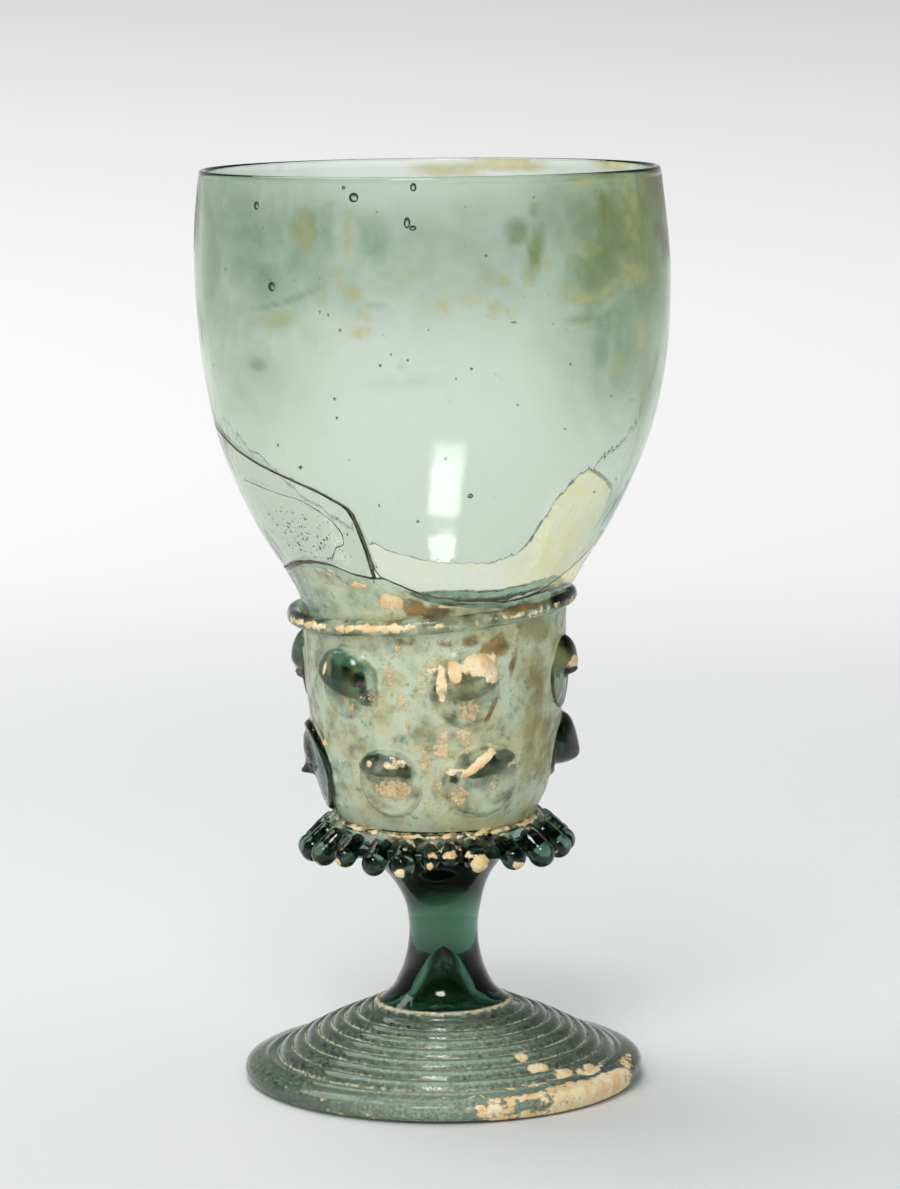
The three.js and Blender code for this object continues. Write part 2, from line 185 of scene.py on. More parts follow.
# How the glass stands, and its wall


@dataclass(frozen=True)
class Stance:
    """Where the axis of the glass runs: upright foot, bent stem, and a bowl that leans to the left."""

    foot_x: float = 2.2
    bend: float = -1.2
    bend_start: float = 31.0
    bend_end: float = 42.0
    lean: float = 0.6
    lean_height: float = 46.0
    lean_span: Pair = (38.0, 44.0)
    foot_tilt: float = 0.95
    tilt_start: Pair = (0.0, 1.5)
    tilt_end: Pair = (20.0, 38.0)
    belly_shift: float = 0.5
    belly_height: float = 132.0
    belly_reach: float = 34.0

    def foot_rise(self, height: float) -> float:
        """Slope of the warped foot, whose right side stands higher, while its resting ring stays level."""
        slope = tan(radians(self.foot_tilt))
        return slope * ease(*self.tilt_start, height) * (1 - ease(*self.tilt_end, height))

    def shift(self, height: float) -> float:
        """How far the axis is to the right, by the stem's bend and the bowl's belly."""
        bend = self.bend * ease(self.bend_start, self.bend_end, height)
        return self.foot_x + bend + self.belly_shift * bell(height, self.belly_height, self.belly_reach)

    def lean_at(self, height: float) -> float:
        """Lean of the axis in radians."""
        return radians(self.lean) * ease(*self.lean_span, height)

    def place(self, angle: float, radius: float, height: float) -> Vector:
        """Point of the frame for a point given round the axis of the glass.

        Args:
            angle: degrees from the front towards +X.
            radius: millimetres from the axis.
            height: millimetres over the floor, along the axis.

        Returns:
            The point, in metres.
        """
        turn = radians(angle)
        across, depth = radius * sin(turn), -radius * cos(turn)
        lean = self.lean_at(height)
        rise = height - self.lean_height
        x = self.shift(height) + across * cos(lean) - rise * sin(lean)
        z = self.lean_height + across * sin(lean) + rise * cos(lean)
        return Vector((x, depth, z + across * self.foot_rise(height))) * MM

    def read(self, point: Vector) -> tuple[float, float, float]:
        """Place round the axis for a point of the frame.

        Args:
            point: the point, in metres.

        Returns:
            Its angle, radius and height.
        """
        height = point.z / MM
        lean = self.lean_at(height)
        x = point.x / MM - self.shift(height)
        rise = height - x * self.foot_rise(height) - self.lean_height
        across = x * cos(lean) + rise * sin(lean)
        height = self.lean_height - x * sin(lean) + rise * cos(lean)
        depth = point.y / MM
        return degrees(atan2(across, -depth)), hypot(across, depth), height


@dataclass(frozen=True)
class Wall:
    """The one curved wall that shank and bowl were blown from."""

    outline: tuple[Pair, ...] = (
        (48.5, 17.6), (52.5, 19.6), (60, 21.5), (71, 23.1), (82, 23.6), (88.5, 24.1), (93, 26.3), (100, 30.7),
        (108, 34.8), (118, 38.7), (130, 41.2), (143, 42.25), (154, 42.0), (165, 40.9),
    )
    thickness: tuple[Pair, ...] = ((48.5, 2.4), (70, 1.9), (84, 1.45), (88, 1.35), (100, 1.3), (165, 1.2))
    outer_swell: float = 0.07
    inner_swell: float = 0.09

    def __post_init__(self) -> None:
        """Makes the curves once."""
        object.__setattr__(self, "outer_curve", smooth_curve(self.outline))
        object.__setattr__(self, "thick_curve", smooth_curve(self.thickness))

    def outer(self, angle: float, height: float) -> float:
        """Radius of the outer face."""
        return self.outer_curve(height) + self.outer_swell * ripple(3, angle, height, 1.6)

    def slope(self, height: float) -> float:
        """How much the wall widens per millimetre of height."""
        return self.outer_curve(height + 0.5) - self.outer_curve(height - 0.5)

    def inner(self, angle: float, height: float) -> float:
        """Radius of the inner face, square to the wall by its thickness."""
        thick = self.thick_curve(height) * hypot(1, self.slope(height))
        return self.outer_curve(height) - thick + self.inner_swell * ripple(9, angle, height, 2.1)


@dataclass(frozen=True)
class Breaks:
    """Broken edges as (angle, height), and the joint between neighbours."""

    bowl: tuple[Pair, ...] = (
        (-180, 91), (-156, 94), (-132, 103), (-108, 114), (-96, 119.5), (-84, 120.6), (-74, 119.2),
        (-62, 116.7), (-51.5, 114.6), (-42.5, 113.0), (-33, 110.8), (-27, 109.0), (-24, 107.2),
        (-22.5, 103.6), (-21, 97.0), (-19.5, 95.6), (-18, 95.3), (-6, 92.7), (6, 91.3), (30, 90.4), (42, 91),
        (54, 93), (66, 96), (78, 100.5), (84, 103.5), (90, 131), (96, 124), (102, 118), (120, 109.5),
        (126, 107.5), (132, 104), (138, 96), (144, 93), (156, 91.3), (180, 91),
    )
    stump: tuple[Pair, ...] = (
        (-180, 86.3), (-150, 87.4), (-120, 91.0), (-72, 94.9), (-53, 97.0), (-39.5, 97.2), (-30.5, 95.6),
        (-24, 95.1), (-18, 95), (-13.4, 94.2), (-6, 92.3), (7, 90.7), (30, 89.9), (48, 90.9), (60, 91.4),
        (90, 90.2), (140, 87.6), (180, 86.3),
    )
    side_base: tuple[Pair, ...] = ((84, 102.4), (96, 106), (120, 108.5))
    side_ends: Pair = (84.0, 120.0)
    front_fill_ends: Pair = (-150.0, -22.5)
    back_fill_ends: Pair = (48.0, 209.5)
    gap: float = 0.3
    closed: float = 0.05
    jag: float = 0.12
    ray_fall: float = 0.12
    slope_fall: float = 0.53
    fall_span: Pair = (92.0, 112.0)
    refraction: float = 1.5
    swerve_reach: float = 1.3 / 32
    swerve_right: Pair = (121.0, 128.0)
    swerve_left: Pair = (96.0, 108.0)
    swerve_meet: float = 8.0

    def __post_init__(self) -> None:
        """Makes the edge curves once."""
        object.__setattr__(self, "bowl_curve", smooth_curve(self.bowl))
        object.__setattr__(self, "stump_curve", smooth_curve(self.stump))
        object.__setattr__(self, "side_curve", smooth_curve(self.side_base))

    def joint(self, angle: float) -> float:
        """Width of the joint above the fills, which is all but closed at the sides and the back."""
        near = turn_back(angle)
        return mix(self.gap, self.closed, ease(44, 56, near) + ease(78, 96, -near))

    def lag(self, angle: float, height: float) -> float:
        """How much lower the outer end of a fracture lies at the back, where it runs square to the wall.

        Args:
            angle: degrees from the front.
            height: height of its inner end.

        Returns:
            The drop in millimetres.
        """
        near = abs(turn_back(angle))
        steep = max(0.3, -cos(radians(near)))
        return (self.ray_fall / steep + self.slope_fall * WALL.slope(height)) * ease(*self.fall_span, near)

    def swerve(self, angle: float) -> float:
        """How far the two ends of a fracture are turned from each other at the back.

        Args:
            angle: degrees from the front.

        Returns:
            Degrees by which the inner end lies further from the back than the outer end.
        """
        near = turn_back(angle)
        bent = asin(abs(sin(radians(near))) / self.refraction)
        shift = degrees(self.swerve_reach) * tan(bent)
        side = ease(*self.swerve_right, near) - ease(*self.swerve_left, -near)
        return shift * side * ease(0, self.swerve_meet, 180 - abs(near))

    def rough(self, seed: float, angle: float) -> float:
        """Small unevenness of a fracture."""
        return self.jag * (ripple(seed, angle, 0, 14) + 0.5 * ripple(seed, angle, 7, 37))

    def bowl_edge(self, angle: float) -> float:
        """Height of the large shard's lower edge."""
        return self.bowl_curve(turn_back(angle)) + self.rough(2, angle)

    def stump_edge(self, angle: float) -> float:
        """Height of the stump's upper edge."""
        near = turn_back(angle)
        return min(self.stump_curve(near) + self.rough(5, angle), self.bowl_edge(angle) - self.gap)

    def side_edge(self, angle: float) -> float:
        """Height of the side shard's lower edge."""
        return self.side_curve(angle) + self.rough(8, angle)


STANCE = Stance()
WALL = Wall()
BREAKS = Breaks()


# Meshes


@dataclass
class Skin:
    """Points and faces of a surface under construction."""

    points: list[Vector] = field(default_factory=list)
    faces: list[tuple[int, ...]] = field(default_factory=list)

    def add_ring(self, points: Iterable[Vector]) -> list[int]:
        """Adds points.

        Args:
            points: the points to add.

        Returns:
            Their numbers.
        """
        first = len(self.points)
        self.points.extend(points)
        return list(range(first, len(self.points)))

    def bridge(self, lower: Sequence[int], upper: Sequence[int]) -> None:
        """Faces between two rings of one length, or between a ring and a single point.

        Args:
            lower: numbers of the first ring's points.
            upper: numbers of the second ring's points.
        """
        count = max(len(lower), len(upper))
        for i in range(count):
            j = (i + 1) % count
            if len(lower) == 1:
                self.faces.append((lower[0], upper[j], upper[i]))
            elif len(upper) == 1:
                self.faces.append((lower[i], lower[j], upper[0]))
            else:
                self.faces.append((lower[i], lower[j], upper[j], upper[i]))

    def to_mesh(self, name: str) -> Mesh:
        """Turns the surface into a mesh with its faces pointing out.

        Args:
            name: name of the mesh.

        Returns:
            The mesh.
        """
        mesh = bpy.data.meshes.new(name)
        mesh.from_pydata(self.points, [], self.faces)
        shape = bmesh.new()
        shape.from_mesh(mesh)
        bmesh.ops.recalc_face_normals(shape, faces=shape.faces)
        shape.to_mesh(mesh)
        shape.free()
        return mesh


def loft(rings: Sequence[Sequence[Vector]], joined: bool = False) -> Skin:
    """Surface over a row of rings.

    Args:
        rings: the rings, each with the same count of points, or a single point at an end.
        joined: True where the last ring joins the first.

    Returns:
        The surface.
    """
    skin = Skin()
    numbers = [skin.add_ring(ring) for ring in rings]
    pairs = list(zip(numbers, numbers[1:]))
    if joined:
        pairs.append((numbers[-1], numbers[0]))
    for lower, upper in pairs:
        skin.bridge(lower, upper)
    return skin


def make_object(name: str, mesh: Mesh, crease: float = 40.0) -> Piece:
    """Object in the scene with smooth faces and sharp creases.

    Args:
        name: name of the piece.
        mesh: its mesh.
        crease: angle in degrees above which an edge stays sharp.

    Returns:
        The new object.
    """
    shape = bmesh.new()
    shape.from_mesh(mesh)
    for edge in shape.edges:
        edge.smooth = not (edge.is_manifold and edge.calc_face_angle(0) > radians(crease))
    for face in shape.faces:
        face.smooth = True
    shape.to_mesh(mesh)
    shape.free()
    piece = bpy.data.objects.new(name, mesh)
    bpy.context.scene.collection.objects.link(piece)
    return piece


def fuse(body: Mesh, parts: Sequence[Mesh]) -> Mesh:
    """One closed mesh of a body and the parts melted onto it.

    Args:
        body: the mesh that carries the parts.
        parts: closed meshes that reach into the body.

    Returns:
        The joined mesh.
    """
    scene = bpy.context.scene
    carrier = bpy.data.objects.new("carrier", body)
    scene.collection.objects.link(carrier)
    tools = bpy.data.collections.new("melted_on")
    for part in parts:
        tools.objects.link(bpy.data.objects.new("part", part))
    union = carrier.modifiers.new("union", "BOOLEAN")
    union.operation = "UNION"
    union.operand_type = "COLLECTION"
    union.collection = tools
    union.solver = "MANIFOLD"
    evaluated = carrier.evaluated_get(bpy.context.evaluated_depsgraph_get())
    joined = bpy.data.meshes.new_from_object(evaluated)
    for used in [carrier, *tools.objects]:
        bpy.data.objects.remove(used)
    bpy.data.collections.remove(tools)
    return joined


Film = Callable[[float, float, float], float]
Edge = Callable[[float], float]


def nothing(angle: float, radius: float, height: float) -> float:
    """No film."""
    return 0.0


def paint(mesh: Mesh, films: dict[str, Film]) -> None:
    """Writes values for each point of a mesh, which the finishes read by name.

    Args:
        mesh: the mesh to paint.
        films: for each attribute, what gives its value for an angle, radius and height.
    """
    places = [STANCE.read(point.co) for point in mesh.vertices]
    for name, film in films.items():
        layer = mesh.attributes.new(name, "FLOAT", "POINT")
        layer.data.foreach_set("value", [film(*place) for place in places])


@dataclass(frozen=True)
class Blotch:
    """Soft oval spot on the glass, in degrees and millimetres."""

    angle: float
    level: float
    wide: float
    tall: float
    amount: float = 1.0
    slant: float = 0.0

    def at(self, angle: float, level: float) -> float:
        """How strong the spot is at a place."""
        across = turn_back(angle - self.angle - self.slant * (level - self.level)) / self.wide
        return self.amount * ease(0, 1, 1.35 - hypot(across, (level - self.level) / self.tall))


def spots(*rows: Sequence[float]) -> tuple[Blotch, ...]:
    """Spots from rows of their angle, level, width, height, amount and slant."""
    return tuple(Blotch(*row) for row in rows)


def strongest(blotches: Sequence[Blotch], angle: float, level: float) -> float:
    """The strongest of several spots at a place."""
    return max((blotch.at(angle, level) for blotch in blotches), default=0.0)


# Finishes


class Pen:
    """Draws nodes into one node tree."""

    def __init__(self, tree: bpy.types.NodeTree) -> None:
        """Keeps the tree."""
        self.tree = tree

    def node(self, kind: str, values: dict | None = None, **settings: object) -> Node:
        """New node.

        Args:
            kind: Blender's name of the node type.
            values: input values or sources by input name or number.
            settings: attributes of the node.

        Returns:
            The node.
        """
        made = self.tree.nodes.new(kind)
        for key, setting in settings.items():
            setattr(made, key, setting)
        self.fill(made, values or {})
        return made

    def fill(self, made: Node, values: dict) -> None:
        """Links or sets a node's inputs.

        Args:
            made: the node.
            values: input values or sources by input name or number.
        """
        for key, value in values.items():
            if isinstance(value, Socket):
                self.tree.links.new(value, made.inputs[key])
            else:
                made.inputs[key].default_value = value

    def math(self, operation: str, *values: object) -> Socket:
        """Result of a Math node."""
        return self.node("ShaderNodeMath", dict(enumerate(values)), operation=operation).outputs[0]

    def times(self, first: object, second: object) -> Socket:
        """Product of two values."""
        return self.math("MULTIPLY", first, second)

    def blend(self, share: object, first: object, second: object) -> Socket:
        """Colour between two colours."""
        return self.node("ShaderNodeMix", {0: share, 6: first, 7: second}, data_type="RGBA").outputs[2]

    def step(self, value: object, low: object, high: object) -> Socket:
        """Soft step from 0 to 1."""
        values = {0: value, 1: low, 2: high}
        return self.node("ShaderNodeMapRange", values, interpolation_type="SMOOTHSTEP").outputs[0]

    def noise(self, place: object, scale: object, detail: float = 3.0, swirl: float = 0.0) -> Socket:
        """Noise from 0 to 1."""
        values = {"Vector": place, "Scale": scale, "Detail": detail, "Distortion": swirl}
        return self.node("ShaderNodeTexNoise", values).outputs[0]

    def ramp(self, value: object, stops: Sequence[Pair]) -> Socket:
        """Grey level from a smooth ramp.

        Args:
            value: the place on the ramp.
            stops: its (position, level) pairs.

        Returns:
            The level there.
        """
        made = self.node("ShaderNodeValToRGB", {0: value})
        band = made.color_ramp
        band.interpolation = "B_SPLINE"
        band.elements[0].position, band.elements[1].position = stops[0][0], stops[-1][0]
        for position, _ in stops[1:-1]:
            band.elements.new(position)
        for stop, (_, level) in zip(band.elements, stops):
            stop.color = (level, level, level, 1)
        return made.outputs[0]

    def attribute(self, name: str) -> Socket:
        """A value painted on the mesh."""
        return self.node("ShaderNodeAttribute", attribute_name=name).outputs["Fac"]

    def place(self) -> Socket:
        """Object coordinates, in metres."""
        return self.node("ShaderNodeTexCoord").outputs["Object"]

    def bump(self, height: Socket, distance: float) -> Socket:
        """Normal of a surface with fine relief."""
        values = {"Strength": 1.0, "Distance": distance, "Height": height}
        return self.node("ShaderNodeBump", values).outputs[0]

    def show(self, shader: Node, kind: str = "ShaderNodeOutputMaterial") -> Node:
        """Output node that shows a shader."""
        return self.node(kind, {"Surface": shader.outputs[0]})


def new_material(name: str) -> tuple[Material, Pen]:
    """Makes a material with an empty node tree.

    Args:
        name: its name.

    Returns:
        The material, and a pen for its nodes.
    """
    made = bpy.data.materials.new(name)
    made.use_nodes = True
    made.node_tree.nodes.clear()
    return made, Pen(made.node_tree)


def rgba(colour: Colour) -> tuple[float, float, float, float]:
    """Colour with full alpha."""
    return (*colour, 1.0)


class Kind(Enum):
    """Kinds of group sockets."""

    NUMBER = "NodeSocketFloat"
    COLOUR = "NodeSocketColor"
    PLACE = "NodeSocketVector"


def new_group(name: str, inputs: dict[str, Kind], outputs: dict[str, Kind]) -> tuple[Pen, dict, dict]:
    """Empty shader node group.

    Args:
        name: name of the group.
        inputs: its inputs by name.
        outputs: its outputs by name.

    Returns:
        A pen for the group, its input sources by name, and its output targets by name.
    """
    tree = bpy.data.node_groups.new(name, "ShaderNodeTree")
    for label, kind in inputs.items():
        tree.interface.new_socket(label, in_out="INPUT", socket_type=kind.value)
    for label, kind in outputs.items():
        tree.interface.new_socket(label, in_out="OUTPUT", socket_type=kind.value)
    sources = tree.nodes.new("NodeGroupInput").outputs
    targets = tree.nodes.new("NodeGroupOutput").inputs
    return Pen(tree), {k: sources[k] for k in inputs}, {k: targets[k] for k in outputs}


class Effects:
    """Node groups that several finishes share."""

    def __init__(self) -> None:
        """Builds each group once."""
        self.tint = self.build_tint()
        self.ripples = self.build_ripples()
        self.crust = self.build_crust()

    @staticmethod
    def build_tint() -> bpy.types.NodeTree:
        """Glass colour that films of weathering stain, in soft clouds; the smoke film also carries painted
        shade.

        Returns:
            The node group.
        """
        inputs = {
            "Place": Kind.PLACE, "Clear": Kind.COLOUR, "Smoke and Shade": Kind.COLOUR, "Olive": Kind.COLOUR,
            "Gold": Kind.COLOUR, "Smoke and Shade Film": Kind.NUMBER, "Olive Film": Kind.NUMBER,
            "Gold Film": Kind.NUMBER, "Cloud Scale": Kind.NUMBER,
        }
        pen, given, result = new_group("stained_glass_tint", inputs, {"Color": Kind.COLOUR})
        place = given["Place"]
        cloud = pen.step(pen.noise(place, given["Cloud Scale"], 5.0, 1.6), 0.3, 0.7)
        smoke_and_shade = pen.times(given["Smoke and Shade Film"], pen.math("MULTIPLY_ADD", cloud, 0.7, 0.62))
        colour = pen.blend(pen.math("MINIMUM", smoke_and_shade, 1.0), given["Clear"], given["Smoke and Shade"])
        fine = pen.times(given["Cloud Scale"], 2.3)
        patch = pen.step(pen.noise(place, fine, 5.0, 1.2), 0.35, 0.65)
        olive = pen.times(given["Olive Film"], pen.math("MULTIPLY_ADD", patch, 0.8, 0.5))
        colour = pen.blend(pen.math("MINIMUM", olive, 1.0), colour, given["Olive"])
        finer = pen.times(given["Cloud Scale"], 5.0)
        fleck = pen.step(pen.noise(place, finer, 5.0, 0.8), 0.42, 0.56)
        gold = pen.times(given["Gold Film"], pen.math("MULTIPLY_ADD", fleck, 0.65, 0.45))
        colour = pen.blend(pen.math("MINIMUM", gold, 1.0), colour, given["Gold"])
        pen.tree.links.new(colour, result["Color"])
        return pen.tree

    @staticmethod
    def build_ripples() -> bpy.types.NodeTree:
        """Unevenness of blown glass: long vertical cords and a fine waviness.

        Returns:
            The node group.
        """
        inputs = {"Place": Kind.PLACE, "Cords": Kind.NUMBER, "Waves": Kind.NUMBER}
        pen, given, result = new_group("blown_glass_ripples", inputs, {"Height": Kind.NUMBER})
        place = given["Place"]
        stretched = pen.node("ShaderNodeVectorMath", {0: place, 1: (1.0, 1.0, 0.12)}, operation="MULTIPLY")
        cords = pen.times(pen.noise(stretched.outputs[0], 420.0, 2.0), given["Cords"])
        waves = pen.times(pen.noise(place, 160.0, 2.0), given["Waves"])
        pen.tree.links.new(pen.math("ADD", cords, waves), result["Height"])
        return pen.tree

    @staticmethod
    def build_crust() -> bpy.types.NodeTree:
        """Flaking crust: where it holds, its colour and its height.

        Returns:
            The node group.
        """
        inputs = {
            "Place": Kind.PLACE, "Cover": Kind.NUMBER, "Flake Scale": Kind.NUMBER, "Softness": Kind.NUMBER,
            "Dots": Kind.NUMBER, "Light": Kind.COLOUR, "Warm": Kind.COLOUR, "Dark": Kind.COLOUR,
        }
        outputs = {"Alpha": Kind.NUMBER, "Color": Kind.COLOUR, "Height": Kind.NUMBER}
        pen, given, result = new_group("flaking_crust", inputs, outputs)
        place = given["Place"]
        scale = given["Flake Scale"]
        coarse = pen.math("MULTIPLY_ADD", pen.noise(place, scale, 6.0), 1.6, -0.8)
        cells = pen.node("ShaderNodeTexVoronoi", {"Vector": place, "Scale": scale})
        round_off = pen.math("MULTIPLY_ADD", cells.outputs["Distance"], -1.5, 0.55)
        loose = pen.math("MULTIPLY_ADD", cells.outputs["Color"], 0.7, -0.35)
        dots = pen.math("ADD", round_off, loose)
        pattern = pen.math("ADD", coarse, pen.times(pen.math("SUBTRACT", dots, coarse), given["Dots"]))
        hold = pen.math("ADD", given["Cover"], pattern)
        low = pen.math("SUBTRACT", 0.5, given["Softness"])
        alpha = pen.step(hold, low, pen.math("ADD", 0.5, given["Softness"]))
        patch = pen.step(pen.noise(place, pen.times(scale, 0.45), 4.0), 0.4, 0.62)
        colour = pen.blend(patch, given["Light"], given["Warm"])
        speck = pen.step(pen.noise(place, pen.times(scale, 2.3), 3.0), 0.6, 0.72)
        colour = pen.blend(pen.times(speck, 0.8), colour, given["Dark"])
        pen.tree.links.new(alpha, result["Alpha"])
        pen.tree.links.new(colour, result["Color"])
        pen.tree.links.new(hold, result["Height"])
        return pen.tree


@dataclass(frozen=True)
class GlassFinish:
    """Clear coloured body: glass or resin, stained by films on its faces; the smoke film also carries painted
    shade.
    """

    name: str
    density: float
    passed: Colour
    clear: Colour = (1.0, 1.0, 1.0)
    # smoke colour: grey-green film, and painted shade where a finish sets it dark
    smoke_and_shade: Colour = (0.46, 0.58, 0.5)
    olive: Colour = (0.41, 0.43, 0.18)
    gold: Colour = (0.82, 0.7, 0.38)
    roughness: float = 0.02
    transmission: float = 1.0
    ior: float = 1.5
    cloud_scale: float = 70.0
    cords: float = 0.1
    waves: float = 0.12
    bump: float = 0.0002
    thin_shadow: Colour = (0.93, 0.95, 0.93)
    thick_shadow: Colour = (0.45, 0.58, 0.5)

    def material(self, effects: Effects) -> Material:
        """Builds the material.

        Args:
            effects: the shared node groups.

        Returns:
            The material, glassy with absorption inside, that lets lamplight through.
        """
        made, pen = new_material(self.name)
        place = pen.place()
        tint = pen.node("ShaderNodeGroup", node_tree=effects.tint)
        pen.fill(tint, {
            "Place": place, "Smoke and Shade Film": pen.attribute("smoke_and_shade"), "Olive Film": pen.attribute("olive"),
            "Gold Film": pen.attribute("gold"), "Clear": rgba(self.clear), "Smoke and Shade": rgba(self.smoke_and_shade),
            "Olive": rgba(self.olive), "Gold": rgba(self.gold), "Cloud Scale": self.cloud_scale,
        })
        ripples = pen.node("ShaderNodeGroup", node_tree=effects.ripples)
        pen.fill(ripples, {"Place": place, "Cords": self.cords, "Waves": self.waves})
        body = pen.node("ShaderNodeBsdfPrincipled", {
            "Base Color": tint.outputs["Color"], "Roughness": self.roughness, "IOR": self.ior,
            "Transmission Weight": self.transmission,
            "Normal": pen.bump(ripples.outputs["Height"], self.bump),
        })
        thick = pen.blend(pen.attribute("thick"), rgba(self.thin_shadow), rgba(self.thick_shadow))
        through = pen.node("ShaderNodeBsdfTransparent", {"Color": thick})
        lamp = pen.node("ShaderNodeLightPath").outputs["Is Shadow Ray"]
        shown = pen.node("ShaderNodeMixShader", {0: lamp, 1: body.outputs[0], 2: through.outputs[0]})
        inside = pen.node("ShaderNodeVolumeAbsorption", {"Color": rgba(self.passed), "Density": self.density})
        pen.fill(pen.show(shown), {"Volume": inside.outputs[0]})
        return made


@dataclass(frozen=True)
class CrustFinish:
    """Opaque deposit that flakes: weathering crust or old adhesive."""

    name: str
    light: Colour
    warm: Colour
    dark: Colour
    flake_scale: float = 700.0
    softness: float = 0.08
    strength: float = 1.0
    roughness: float = 0.6
    bump: float = 0.0003
    dots: float = 0.0
    flaking: bool = True

    def material(self, effects: Effects) -> Material:
        """Builds the material.

        Args:
            effects: the shared node groups.

        Returns:
            The material. Where the crust flakes, its alpha follows the painted cover.
        """
        made, pen = new_material(self.name)
        crust = pen.node("ShaderNodeGroup", node_tree=effects.crust)
        pen.fill(crust, {
            "Place": pen.place(), "Flake Scale": self.flake_scale, "Softness": self.softness,
            "Dots": self.dots, "Light": rgba(self.light), "Warm": rgba(self.warm), "Dark": rgba(self.dark),
        })
        if self.flaking:
            pen.fill(crust, {"Cover": pen.attribute("cover")})
        body = pen.node("ShaderNodeBsdfPrincipled", {
            "Base Color": crust.outputs["Color"], "Roughness": self.roughness,
            "Normal": pen.bump(crust.outputs["Height"], self.bump),
        })
        if self.flaking:
            pen.fill(body, {"Alpha": pen.times(crust.outputs["Alpha"], self.strength)})
        pen.show(body)
        return made


# The vessel's dark smoke colour is painted shade on thick glass seen edge on.
VESSEL_GLASS = GlassFinish(
    "vessel_glass", density=350.0, passed=(0.306, 0.566, 0.457), clear=(0.95, 0.98, 0.95),
    smoke_and_shade=(0.12, 0.25, 0.19), waves=0.3, thin_shadow=(0.86, 0.9, 0.86),
)
BOWL_GLASS = GlassFinish("bowl_glass", density=180.0, passed=(0.3, 0.59, 0.29))
CLEAR_RESIN = GlassFinish(
    "clear_resin", density=120.0, passed=(0.45, 0.6, 0.35), clear=(0.885, 0.915, 0.885),
    gold=(0.16, 0.19, 0.12), roughness=0.04, cloud_scale=330.0,
)
YELLOW_RESIN = GlassFinish(
    "yellow_resin", density=30.0, passed=(0.85, 0.82, 0.2), clear=(1.0, 0.995, 0.93), gold=(1.0, 0.93, 0.6),
    roughness=0.05, transmission=0.985, ior=1.38, cloud_scale=45.0,
)
CREAM_CRUST = CrustFinish(
    "cream_crust", light=(0.93, 0.79, 0.52), warm=(0.84, 0.6, 0.3), dark=(0.5, 0.34, 0.14), softness=0.15,
)
ORANGE_FLECKS = CrustFinish(
    "orange_flecks", light=(0.88, 0.7, 0.42), warm=(0.78, 0.53, 0.26), dark=(0.92, 0.8, 0.54),
    flake_scale=1500.0, dots=0.45, softness=0.3, strength=0.86,
)
OUTER_HAZE = CrustFinish(
    "outer_haze", light=(0.66, 0.745, 0.55), warm=(0.67, 0.67, 0.4), dark=(0.25, 0.42, 0.28),
    flake_scale=290.0, softness=0.4, strength=0.78, bump=0.00012, roughness=0.22,
)
MILKY_HAZE = CrustFinish(
    "milky_haze", light=(0.9, 0.88, 0.72), warm=(0.84, 0.76, 0.5), dark=(0.6, 0.64, 0.5), flake_scale=150.0,
    softness=0.5, strength=0.8, bump=0.00005,
)
# Faint pale film on the foot, mostly a painted sheen on the ridges at the front.
FOOT_FILM_AND_SHEEN = CrustFinish(
    "foot_film_and_sheen", light=(0.6, 0.75, 0.59), warm=(0.54, 0.67, 0.48), dark=(0.33, 0.51, 0.38),
    flake_scale=1500.0, softness=1.05, strength=0.66, bump=0.00002, roughness=0.2,
)
GROOVE_DUST = CrustFinish(
    "groove_dust", light=(0.64, 0.66, 0.51), warm=(0.68, 0.61, 0.41), dark=(0.36, 0.38, 0.27),
    flake_scale=1100.0, softness=0.35, strength=0.85,
)
OLIVE_STAIN = CrustFinish(
    "olive_stain", light=(0.4, 0.4, 0.14), warm=(0.34, 0.27, 0.07), dark=(0.24, 0.3, 0.14), flake_scale=260.0,
    softness=0.55, strength=0.58,
)
BROWN_STAIN = CrustFinish(
    "brown_stain", light=(0.36, 0.21, 0.06), warm=(0.17, 0.11, 0.04), dark=(0.62, 0.44, 0.2),
    flake_scale=520.0, softness=0.46, strength=0.8,
)
# Dirt in the kick, darkened further as painted shade under the foot.
KICK_DIRT_AND_SHADE = CrustFinish(
    "kick_dirt_and_shade", light=(0.16, 0.22, 0.08), warm=(0.26, 0.24, 0.08), dark=(0.04, 0.07, 0.03),
    flake_scale=420.0, softness=0.35, strength=0.7,
)
# Painted shade: a dark green sheet at the bowl's outline, where the glass is seen edge on.
SIDE_SHADE = CrustFinish(
    "painted_side_shade", light=(0.13, 0.21, 0.12), warm=(0.2, 0.22, 0.09), dark=(0.05, 0.1, 0.05), flake_scale=150.0,
    softness=0.5, strength=0.52, bump=0.00002, roughness=0.35,
)
PALE_ADHESIVE = CrustFinish(
    "pale_adhesive", light=(0.78, 0.72, 0.48), warm=(0.66, 0.52, 0.26), dark=(0.3, 0.22, 0.1),
    flake_scale=900.0, flaking=False, roughness=0.4,
)
OLD_ADHESIVE = CrustFinish(
    "old_adhesive", light=(0.11, 0.09, 0.045), warm=(0.05, 0.045, 0.03), dark=(0.62, 0.44, 0.18),
    flake_scale=1400.0, flaking=False, roughness=0.4,
)


# Sub-assemblies


def dress(piece: Piece, material: Material, nodes: Sequence[str] = ()) -> None:
    """Gives a piece its material and body, and hides the pieces of the frame that it stands for.

    Args:
        piece: the piece.
        material: its finish.
        nodes: names of the nodes that it stands for.
    """
    piece.data.materials.clear()
    piece.data.materials.append(material)
    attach(piece, "root")
    if nodes:
        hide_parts(*nodes)
    log.info("%s: %d faces", piece.name, len(piece.data.polygons))


